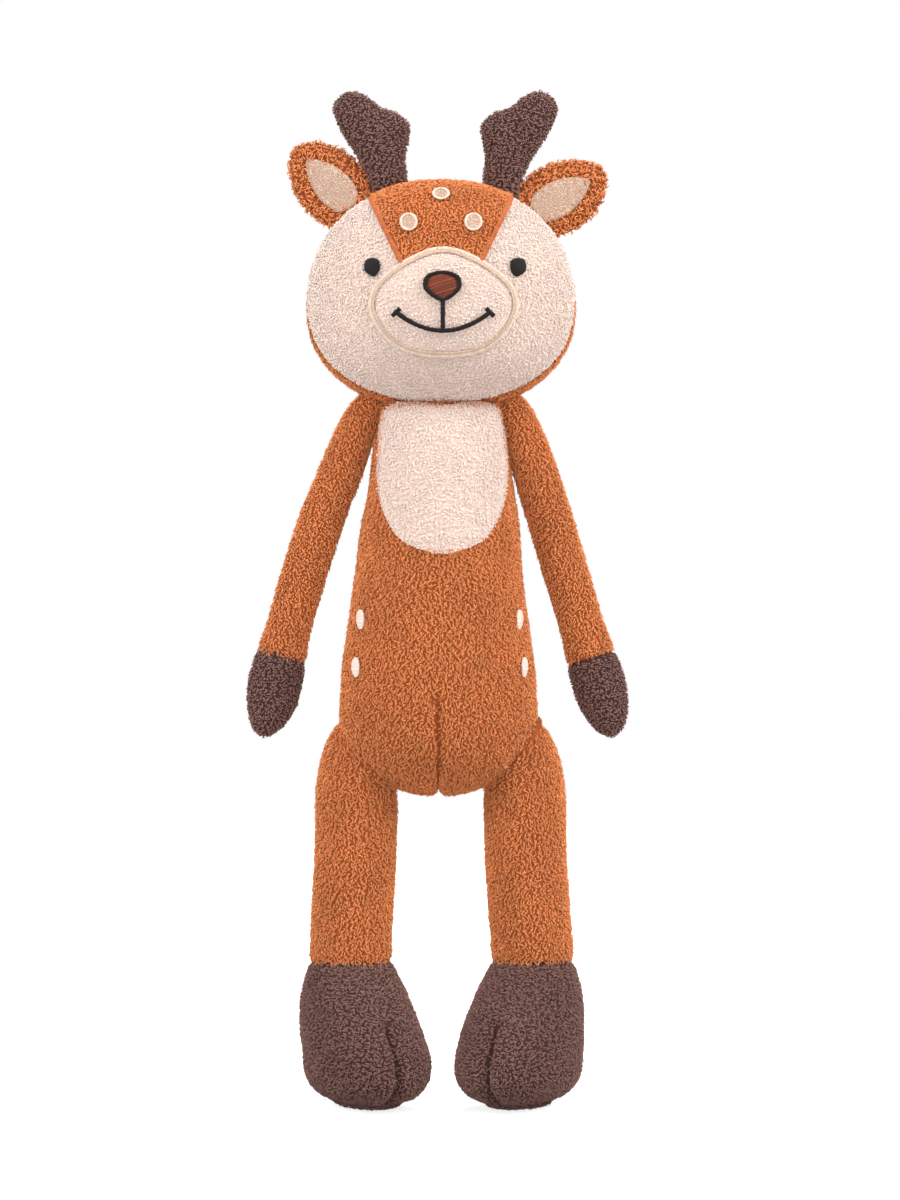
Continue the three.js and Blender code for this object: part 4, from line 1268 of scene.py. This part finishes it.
points = points_of(head_cover) / MM
face_side = before_face_seam(points)
seen_x, seen_z = as_seen(points)
in_wedge = (np.abs(points[:, 0]) < wedge_half(seen_z)) & (seen_z > WEDGE_FOOT - 10)
under_muzzle = inside_outline(inset_outline(muzzle_outline, 1.0), seen_x, seen_z)
head_cream = np.where((face_side > 0.3) & ~in_wedge & ~under_muzzle, 1.0, 0)
head_rust = np.where(face_side < -0.3, 1.0, 0)
paint(head_cover, [cream_fleece, rust_fleece], face_side < 0)
print("rust points", int(torso_rust.sum() + head_rust.sum()), "cream points", int(head_cream.sum()))

# %% Grow the pile
RUST = dict(spacing=0.7, length=2.1, width=0.56, scatter=1.2)
CREAM = dict(spacing=0.68, length=1.7, width=0.58)
BROWN = dict(spacing=0.68, length=1.8, width=0.56, scatter=2.2)
torso_piles = [
    pile_on(torso_cover, "torso_front_pile", rust_fleece, torso_rust * on_belly, seed=5, **RUST),
    pile_on(torso_cover, "torso_back_pile", rust_fleece, torso_rust * ~on_belly, seed=6, **RUST),
]


def patch_pile(patch, outline, name, seed, long=1.0):
    """Pile of a sewn-on patch: it is shorter along the edge, where the seam holds it down."""
    from_edge = far_from_edge(outline, *as_seen(points_of(patch) / MM))
    length = long * (0.55 + 0.45 * smooth_step(from_edge, 0, 3))
    return pile_on(patch, name, cream_fleece, 1.0, seed=seed, long=length, **CREAM)


bib_pile = patch_pile(chest_bib, bib_outline, "chest_bib_pile", 7)
neck_pile = pile_on(neck_cover, "neck_pile", rust_fleece, 1.0, seed=8, **RUST)
neck_cover.data.materials.append(rust_fleece)
face_pile = pile_on(head_cover, "face_pile", cream_fleece, head_cream, seed=9, **CREAM)
head_back_pile = pile_on(head_cover, "head_back_pile", rust_fleece, head_rust, seed=10, **RUST)
muzzle_pile = patch_pile(muzzle_patch, muzzle_outline, "muzzle_pile", 11, 0.85)
seen_forehead = as_seen(points_of(forehead_patch) / MM)
clear_of_muzzle = ~inside_outline(inset_outline(muzzle_outline, -1.6), *seen_forehead)
forehead_pile = pile_on(
    forehead_patch, "forehead_pile", rust_fleece, clear_of_muzzle, seed=12, long=0.9, **RUST
)

arm_piles, leg_piles, ear_piles, antler_piles = {}, {}, {}, {}
for number, name in enumerate(SIDES):
    arm_cover, along = arm_covers[name], arm_along[name]
    paint(arm_cover, [rust_fleece, brown_fleece], along > CUFF)
    sleeve, hand = along < CUFF - 0.004, along > CUFF + 0.004
    arm_piles[name] = [
        pile_on(arm_cover, f"arm_{name}_sleeve_pile", rust_fleece, sleeve, seed=20 + number, **RUST),
        pile_on(arm_cover, f"arm_{name}_hoof_pile", brown_fleece, hand, seed=22 + number, **BROWN),
    ]
    leg_cover = leg_covers[name]
    height = points_of(leg_cover)[:, 2] / MM
    paint(leg_cover, [rust_fleece, brown_fleece], height < HOOF_HIGH)
    shin = height > HOOF_HIGH + 0.6
    hoof = (height < HOOF_HIGH - 0.6) & (height > 0.9) & (leg_seams[name] > 0.9)
    leg_piles[name] = [
        pile_on(leg_cover, f"leg_{name}_pile", rust_fleece, shin, seed=24 + number, **RUST),
        pile_on(leg_cover, f"hoof_{name}_pile", brown_fleece, hoof, seed=26 + number, **BROWN),
    ]
    ear_covers[name].data.materials.append(rust_fleece)
    antler_cover = antler_covers[name]
    antler_cover.data.materials.append(brown_fleece)
    antler_piles[name] = pile_on(
        antler_cover, f"antler_{name}_pile", brown_fleece, 1.0, seed=30 + number, **BROWN
    )

# %% [markdown]
# ## Embroidery
#
# The face is sewn by machine. A satin stitch is a row of threads side by side across a line, so a
# second tree walks a path, sets one short arched thread at each step, square to the path and flat
# on the cloth, and joins them. Filled shapes, like the nose and eyes, are rows of longer threads.

# %% Satin stitch tree
satin_tree, given, result = node_group(
    "satin_stitch",
    "GeometryNodeTree",
    {
        "Geometry": "NodeSocketGeometry",
        "Stitch Pitch": "NodeSocketFloat",
        "Stitch Width": "NodeSocketFloat",
        "Thread Thickness": "NodeSocketFloat",
        "Arch": "NodeSocketFloat",
        "Thread": "NodeSocketMaterial",
    },
    {"Geometry": "NodeSocketGeometry"},
)
half = times(satin_tree, given.outputs["Stitch Width"], 0.5)
arch = step(
    satin_tree, "GeometryNodeCurveQuadraticBezier", Resolution=4,
    Start=point_at(satin_tree, 0.0, times(satin_tree, half, -1.0), 0.0),
    Middle=point_at(satin_tree, 0.0, 0.0, times(satin_tree, given.outputs["Arch"], 2.0)),
    End=point_at(satin_tree, 0.0, half, 0.0),
)
section = step(satin_tree, "GeometryNodeCurvePrimitiveCircle", Resolution=4, Radius=1.0)
stitch = step(
    satin_tree, "GeometryNodeCurveToMesh", Curve=output(arch), Profile_Curve=output(section),
    Scale=times(satin_tree, given.outputs["Thread Thickness"], 0.5), Fill_Caps=True,
)
smooth_stitch = step(satin_tree, "GeometryNodeSetShadeSmooth", Geometry=output(stitch))
line = output(step(satin_tree, "GeometryNodeMeshToCurve", Mesh=given.outputs["Geometry"]))
pitch = given.outputs["Stitch Pitch"]
places = step(satin_tree, "GeometryNodeCurveToPoints", {"mode": "LENGTH"}, Curve=line, Length=pitch)
outward = stored(satin_tree, "cloth_normal", "FLOAT_VECTOR")
sewn = step(
    satin_tree, "GeometryNodeInstanceOnPoints",
    Points=output(places, "Points"), Instance=output(smooth_stitch),
    Rotation=standing_on(satin_tree, outward, output(places, "Tangent")),
    Scale=random_value(satin_tree, 0.9, 1.1, 1),
)
hand_over(satin_tree, sewn, given.outputs["Thread"], result)


# %% Paths on the cloth
THREAD_THICK = 0.55
def path_on(paths, find, lift):
    """A mesh of lines on the cloth: each path is a list of points and says if it is closed."""
    spots, normals, edges = [], [], []
    for path, closed in paths:
        start = len(spots)
        for point in path:
            hit, normal = find(point)
            spots.append(tuple(hit + normal * lift * MM))
            normals.append(tuple(normal))
        edges += [(start + i, start + i + 1) for i in range(len(path) - 1)]
        if closed:
            edges.append((len(spots) - 1, start))
    mesh = bpy.data.meshes.new("path")
    mesh.from_pydata(spots, edges, [])
    layer = mesh.attributes.new("cloth_normal", "FLOAT_VECTOR", "POINT")
    layer.data.foreach_set("vector", np.array(normals, np.float32).ravel())
    return place_object("path", mesh)


def sew_band(name, paths, find, thread_used, wide, lift, arch, pitch=0.42):
    """Satin stitches of one width along paths, lifted off the cloth, with an arch, all in mm."""
    line_piece = path_on(paths, find, lift)
    sizes = dict(Stitch_Pitch=pitch * MM, Stitch_Width=wide * MM, Thread_Thickness=THREAD_THICK * MM)
    band = run_tree(
        satin_tree, line_piece, name, thread_used, **sizes, Arch=arch * MM, Thread=thread_used
    )
    bpy.data.objects.remove(line_piece)
    print(name, len(band.data.polygons), "faces")
    return band


def rows_inside(outline, pitch, slant):
    """Stitch rows that fill an outline, from edge to edge."""
    cos, sin = math.cos(slant), math.sin(slant)
    turn = np.array([[cos, -sin], [sin, cos]])
    flat = outline @ turn
    rows = []
    for z in np.arange(flat[:, 1].min() + pitch / 2, flat[:, 1].max(), pitch):
        ends = []
        for (ax, az), (bx, bz) in zip(flat, np.roll(flat, -1, 0)):
            if (az > z) != (bz > z):
                ends.append(ax + (z - az) * (bx - ax) / (bz - az))
        if len(ends) >= 2 and max(ends) - min(ends) > pitch:
            rows.append(np.array([[x, z] for x in np.linspace(min(ends), max(ends), 9)]) @ turn.T)
    return rows


THREAD_SIDES = 5
END_DIP = 0.45  # how much lower a thread lies where it goes into the cloth


def fill_with_thread(name, outline, find, thread_used, lift, swell, pitch=0.5, thick=0.6, slant=0.0):
    """Threads from edge to edge over a filled shape, a little higher in the middle."""
    spots, faces, shades = [], [], []
    randomness = np.random.default_rng(17)
    size = np.ptp(outline, axis=0).max() / 2
    middle = (outline.min(0) + outline.max(0)) / 2
    for row in rows_inside(outline, pitch, slant):
        shade_of_row = randomness.random()
        start = len(spots)
        wobble = randomness.normal(0, 0.05)
        across, up = row[-1] - row[0]
        along = Vector((across, 0, up)).normalized()
        for i, point in enumerate(row):
            hit, normal = find(point)
            off = np.linalg.norm(point - middle) / size
            rise = lift + swell * (1 - min(1, off) ** 2) - (END_DIP if i in (0, len(row) - 1) else 0)
            aside = normal.cross(along).normalized()
            for turn in range(THREAD_SIDES):
                angle = 2 * math.pi * turn / THREAD_SIDES
                out = normal * math.sin(angle) + aside * math.cos(angle)
                spots.append(tuple(hit + (normal * (rise + wobble) + out * thick / 2) * MM))
                shades.append(shade_of_row)
        end = len(spots) - THREAD_SIDES
        for ring in range(start, end, THREAD_SIDES):
            for turn in range(THREAD_SIDES):
                a, b = ring + turn, ring + (turn + 1) % THREAD_SIDES
                faces.append((a, a + THREAD_SIDES, b + THREAD_SIDES, b))
        faces.append(tuple(start + turn for turn in range(THREAD_SIDES)))
        faces.append(tuple(end + turn for turn in reversed(range(THREAD_SIDES))))
    piece = smooth_piece(name, spots, faces)
    piece.data.materials.append(thread_used)
    mark(piece, "tuft_shade", shades)
    return piece


# %% Muzzle border, nose and mouth
NOSE_OUTLINE = [
    (0, 0), (0.29, 0.066), (0.63, 0.2), (0.83, 0.33), (0.96, 0.43), (1, 0.55), (0.98, 0.68),
    (0.9, 0.81), (0.6, 0.93), (0, 1),
]
NOSE_FOOT, MOUTH_FOOT = MUZZLE_FOOT + 20.6, MUZZLE_FOOT + 9.4
NOSE_HALF_WIDE, NOSE_HIGH, NOSE_MIDDLE = 7.4, 11.7, 0.5
SMILE_HALF, SMILE_RISE, SMILE_MIDDLE = 18, 7, 0.8


def closed_line(outline, inwards):
    return [(inset_outline(outline, inwards), True)]


border_line, inner_line = closed_line(muzzle_outline, -1.0), closed_line(muzzle_outline, 0.2)
muzzle_border = sew_band(
    "muzzle_border_stitches", border_line, on_head, beige_thread, wide=1.3, lift=1.2, arch=0.3
)
# A thin tan line of stitches inside the border is painted shade along its inner side.
muzzle_shade_line = sew_band(
    "muzzle_inner_stitches", inner_line, on_head, shade_line_thread, wide=0.7, lift=1.4, arch=0.15
)
nose_shape = mirrored(NOSE_OUTLINE, NOSE_HALF_WIDE, NOSE_HIGH) + np.array([NOSE_MIDDLE, NOSE_FOOT])
nose_line, nose_inside = closed_line(nose_shape, 0.7), inset_outline(nose_shape, 1.0)
nose_edging = sew_band(
    "nose_edging_stitches", nose_line, on_muzzle, black_thread, wide=1.35, lift=1.3, arch=0.5
)
nose_fill = fill_with_thread(
    "nose_satin", nose_inside, on_muzzle, brown_satin, lift=1.0, swell=0.9, pitch=0.42, thick=0.5, slant=0.3
)
smile = [
    (SMILE_MIDDLE + x, MOUTH_FOOT + SMILE_RISE * (x / SMILE_HALF) ** 2)
    for x in np.linspace(-SMILE_HALF, SMILE_HALF, 41)
]
lip = [(0.7, z) for z in np.linspace(MOUTH_FOOT + 0.5, NOSE_FOOT, 9)]
mouth_lines = [(smile, False), (lip, False)]
for side in SIDES.values():
    end = np.array([SMILE_MIDDLE + side * SMILE_HALF, MOUTH_FOOT + SMILE_RISE])
    slope = np.array([side, -1]) / math.sqrt(2)
    mouth_lines.append(([end + slope * t for t in np.linspace(-1.9, 1.9, 5)], False))
mouth_stitches = sew_band(
    "mouth_stitches", mouth_lines, on_muzzle, black_thread, wide=1.5, lift=1.3, arch=0.5, pitch=0.38
)

# %% Eyes, spots and forehead edging
EYE_OUTLINE = [
    (0, 3.3), (2.4, 2.5), (3.1, 0), (2.2, -2.3), (-0.6, -3.8), (-2.3, -2.3), (-3, 0.3), (-2.2, 2.5),
]
EYE_MIDDLE, EYE_ASIDE, EYE_UP = 1.6, 28, CHIN + 53
eye_pieces = {}
for name, side in SIDES.items():
    oval = rounded([(EYE_MIDDLE + side * (EYE_ASIDE + x), EYE_UP + z) for x, z in EYE_OUTLINE])
    eye_pieces[name] = fill_with_thread(
        f"eye_{name}_satin", oval, on_head, black_thread, lift=1.3, swell=0.6, slant=side * 0.9
    )


def ring_round(x, z, wide, high, count=28):
    turns = np.linspace(0, 2 * np.pi, count, endpoint=False)
    return np.stack([x + wide / 2 * np.cos(turns), z + high / 2 * np.sin(turns)], 1)


def glitter_spot(name, x, z, wide, high):
    """A spot of glitter cloth on the forehead, with a stitched rim."""
    cloth = lay_patch(name, ring_round(x, z, wide - 1.0, high - 1.0), on_forehead, 1.6, cell=0.8)
    cloth.data.materials.append(champagne_glitter)
    give_thickness(cloth, 0.5)
    rim_line = [(ring_round(x, z, wide - 0.8, high - 0.8), True)]
    rim = sew_band(f"{name}_rim", rim_line, on_forehead, beige_thread, wide=0.7, lift=1.6, arch=0.3)
    return [cloth, rim]


forehead_spots = {}
for name, side in SIDES.items():
    spot_name = f"forehead_spot_{name}_cloth"
    forehead_spots[name] = glitter_spot(spot_name, side * 12.4, CHIN + 69.8, wide=6.8, high=6.8)

edging = {}
over_muzzle = inset_outline(muzzle_outline, -0.6)
for name, side in SIDES.items():
    line = [(side * 1.03, math.radians(a)) for a in np.linspace(13, 74, 40)]
    seen_line = as_seen(np.array([over_brow(point)[0] for point in line]) / MM)
    clear = ~inside_outline(over_muzzle, *seen_line)
    line = [point for point, kept in zip(line, clear) if kept]
    stitches_name = f"forehead_edging_{name}_stitches"
    edging[name] = sew_band(
        stitches_name, [(line, False)], over_brow, orange_thread, wide=1.7, lift=1.2, arch=0.4
    )
top_spot = glitter_spot("forehead_spot_top_cloth", 0, CHIN + 80.4, wide=6.6, high=4.6)

flank_spots = {}
for name, side in SIDES.items():
    for place, aside, height in (("lower", 32.1, 21), ("upper", 30.2, 39.6)):
        oval = ring_round(side * aside - 0.4, HIP + height, 2.5 - 0.4 * side, 7.8)
        flank_spots[f"{place}_{name}"] = fill_with_thread(
            f"flank_spot_{place}_{name}_stitches", oval, on_torso, white_thread, lift=1.0, swell=0.5
        )
print("embroidery done")

# %% [markdown]
# ## Ear inlays
#
# Each ear has a leaf of pale glitter cloth on its front. It is cut from the same patch maker, laid
# on the ear, and the longer, shaggier ear pile grows everywhere but under it.

# %% Inlays and ear pile
INLAY_OUTLINE = [(0, -0.02), (0.7, 0.06), (1, 0.36), (0.74, 0.72), (0.1, 0.99), (0, 1)]
INLAY_HALF_WIDE, INLAY_LONG = 6.9, 25
EAR_FLEECE = dict(spacing=0.68, length=2.7, width=0.56)
ear_inlays = {}
for number, (name, side) in enumerate(SIDES.items()):
    ear_cover = ear_covers[name]
    leaf = mirrored(INLAY_OUTLINE, INLAY_HALF_WIDE, INLAY_LONG)
    in_place = on_ear(np.stack([leaf[:, 0], 0 * leaf[:, 0], leaf[:, 1]], 1), name, side)
    leaf_outline = np.stack(as_seen(in_place), 1)
    inlay = lay_patch(
        f"ear_{name}_inlay_cloth", leaf_outline, on_front(surface_of(ear_cover)), 1.1, cell=1.3
    )
    inlay.data.materials.append(champagne_glitter)
    give_thickness(inlay, 0.6)
    ear_inlays[name] = inlay
    seen_ear = as_seen(points_of(ear_cover) / MM)
    under = inside_outline(inset_outline(leaf_outline, 0.4), *seen_ear) & (normals_of(ear_cover)[:, 1] < 0)
    ear_piles[name] = pile_on(
        ear_cover, f"ear_{name}_pile", rust_fleece, ~under, seed=34 + number, **EAR_FLEECE
    )

# %% Close the patches
bpy.data.objects.remove(strand)  # the pile is grown, so its pattern is no longer needed
sewn_on = {chest_bib: cream_fleece, muzzle_patch: cream_fleece, forehead_patch: rust_fleece}
for patch, cloth in sewn_on.items():
    patch.data.materials.append(cloth)
    give_thickness(patch, 0.6)
print("patches closed:", len(sewn_on))

# %% [markdown]
# ## Hand the pieces to the frame
#
# Each piece now hangs on the body of the CAD model that carries it, and the CAD solids that it
# stands for are hidden, except that the arm and leg covers with their rust pile, and the ears with
# their inlays, only have their places fixed in their meshes. Last, the faces that show are counted.


# %% Bodies
def on_body(body, cloth_slot, *pieces):
    for piece in pieces:
        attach(piece, body)


def bending(a, b, start, end, cloth_slot, *pieces):
    for piece in pieces:
        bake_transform(piece)


on_body("torso", "rust_fleece", torso_cover, *torso_piles)
on_body("torso", "cream_fleece", chest_bib, bib_pile)
on_body("torso", "white_thread", *flank_spots.values())
on_body("neck", "rust_fleece", neck_cover, neck_pile)
on_body("head", "rust_fleece", head_cover, head_back_pile, forehead_patch, forehead_pile)
on_body("head", "cream_fleece", face_pile, muzzle_patch, muzzle_pile)
on_body("head", "beige_thread", muzzle_border, muzzle_shade_line)
on_body("head", "black_thread", nose_edging, mouth_stitches, *eye_pieces.values())
on_body("head", "brown_satin", nose_fill)
on_body("head", "orange_thread", *edging.values())
on_body("head", "white_thread", *top_spot, *forehead_spots["left"], *forehead_spots["right"])
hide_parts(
    "torso_stuffing", "torso_front_panel", "torso_back_left_panel", "torso_back_right_panel"
)
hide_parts("chest_bib")
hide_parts("neck_stuffing")
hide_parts("head_stuffing", "face_panel", "head_back_left_panel", "head_back_right_panel")
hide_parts("forehead_patch")
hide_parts("muzzle_patch")
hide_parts("muzzle_border")
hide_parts("nose_edging")
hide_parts("nose")
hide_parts("mouth")
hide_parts("forehead_spot_top")

for name, side in SIDES.items():
    arm, leg, ear = f"arm_{name}", f"leg_{name}", f"ear_{name}"
    shoulder = joint_place(f"arm_{name}_swing") * MM
    start, end = tuple(shoulder + [0, 0, 0.004]), tuple(shoulder + [side * 0.005, 0, -0.016])
    bending(f"shoulder_{name}", arm, start, end, "rust_fleece", arm_covers[name], arm_piles[name][0])
    on_body(arm, "brown_fleece", arm_piles[name][1])
    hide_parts(f"{arm}_sleeve", f"{arm}_hoof", f"{arm}_stuffing")

    start, end = (side * 0.033, SHIFT_Y * MM, 0.150), (side * 0.033, SHIFT_Y * MM, 0.112)
    bending("torso", leg, start, end, "rust_fleece", leg_covers[name], leg_piles[name][0])
    on_body(leg, "brown_fleece", leg_piles[name][1])
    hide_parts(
        f"{leg}_cover", f"{leg}_stuffing",
        *(f"hoof_{name}_{part}" for part in ("outer_panel", "inner_panel", "sole", "stuffing")),
    )

    hinge = Vector(joint_place(f"ear_{name}_flap")) * MM
    outwards = Vector((abs(ear_axis(name).z) * side, 0, abs(ear_axis(name).x)))
    start, end = tuple(hinge - outwards * 0.002), tuple(hinge + outwards * 0.009)
    bending("head", ear, start, end, "rust_fleece", ear_covers[name], ear_piles[name])
    bending("head", ear, start, end, "pale_satin", ear_inlays[name])
    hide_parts(f"{ear}_front", f"{ear}_back")
    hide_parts(f"{ear}_inlay")

    on_body("head", "brown_fleece", antler_covers[name], antler_piles[name])
    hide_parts(f"antler_{name}", f"antler_{name}_stuffing")
    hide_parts(f"eye_{name}")
    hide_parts(f"forehead_edging_{name}")
    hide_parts(f"forehead_spot_{name}")
    for place in ("lower", "upper"):
        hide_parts(f"flank_spot_{place}_{name}")
    pad = frame["nodes"][f"shoulder_pad_{name}"]
    pad.data.materials.clear()
    pad.data.materials.append(rust_fleece)

# %% Count the faces shown and finish
shown = [o for o in bpy.context.scene.objects if o.type == "MESH" and not o.hide_render]
print("faces shown:", sum(len(o.data.polygons) for o in shown))
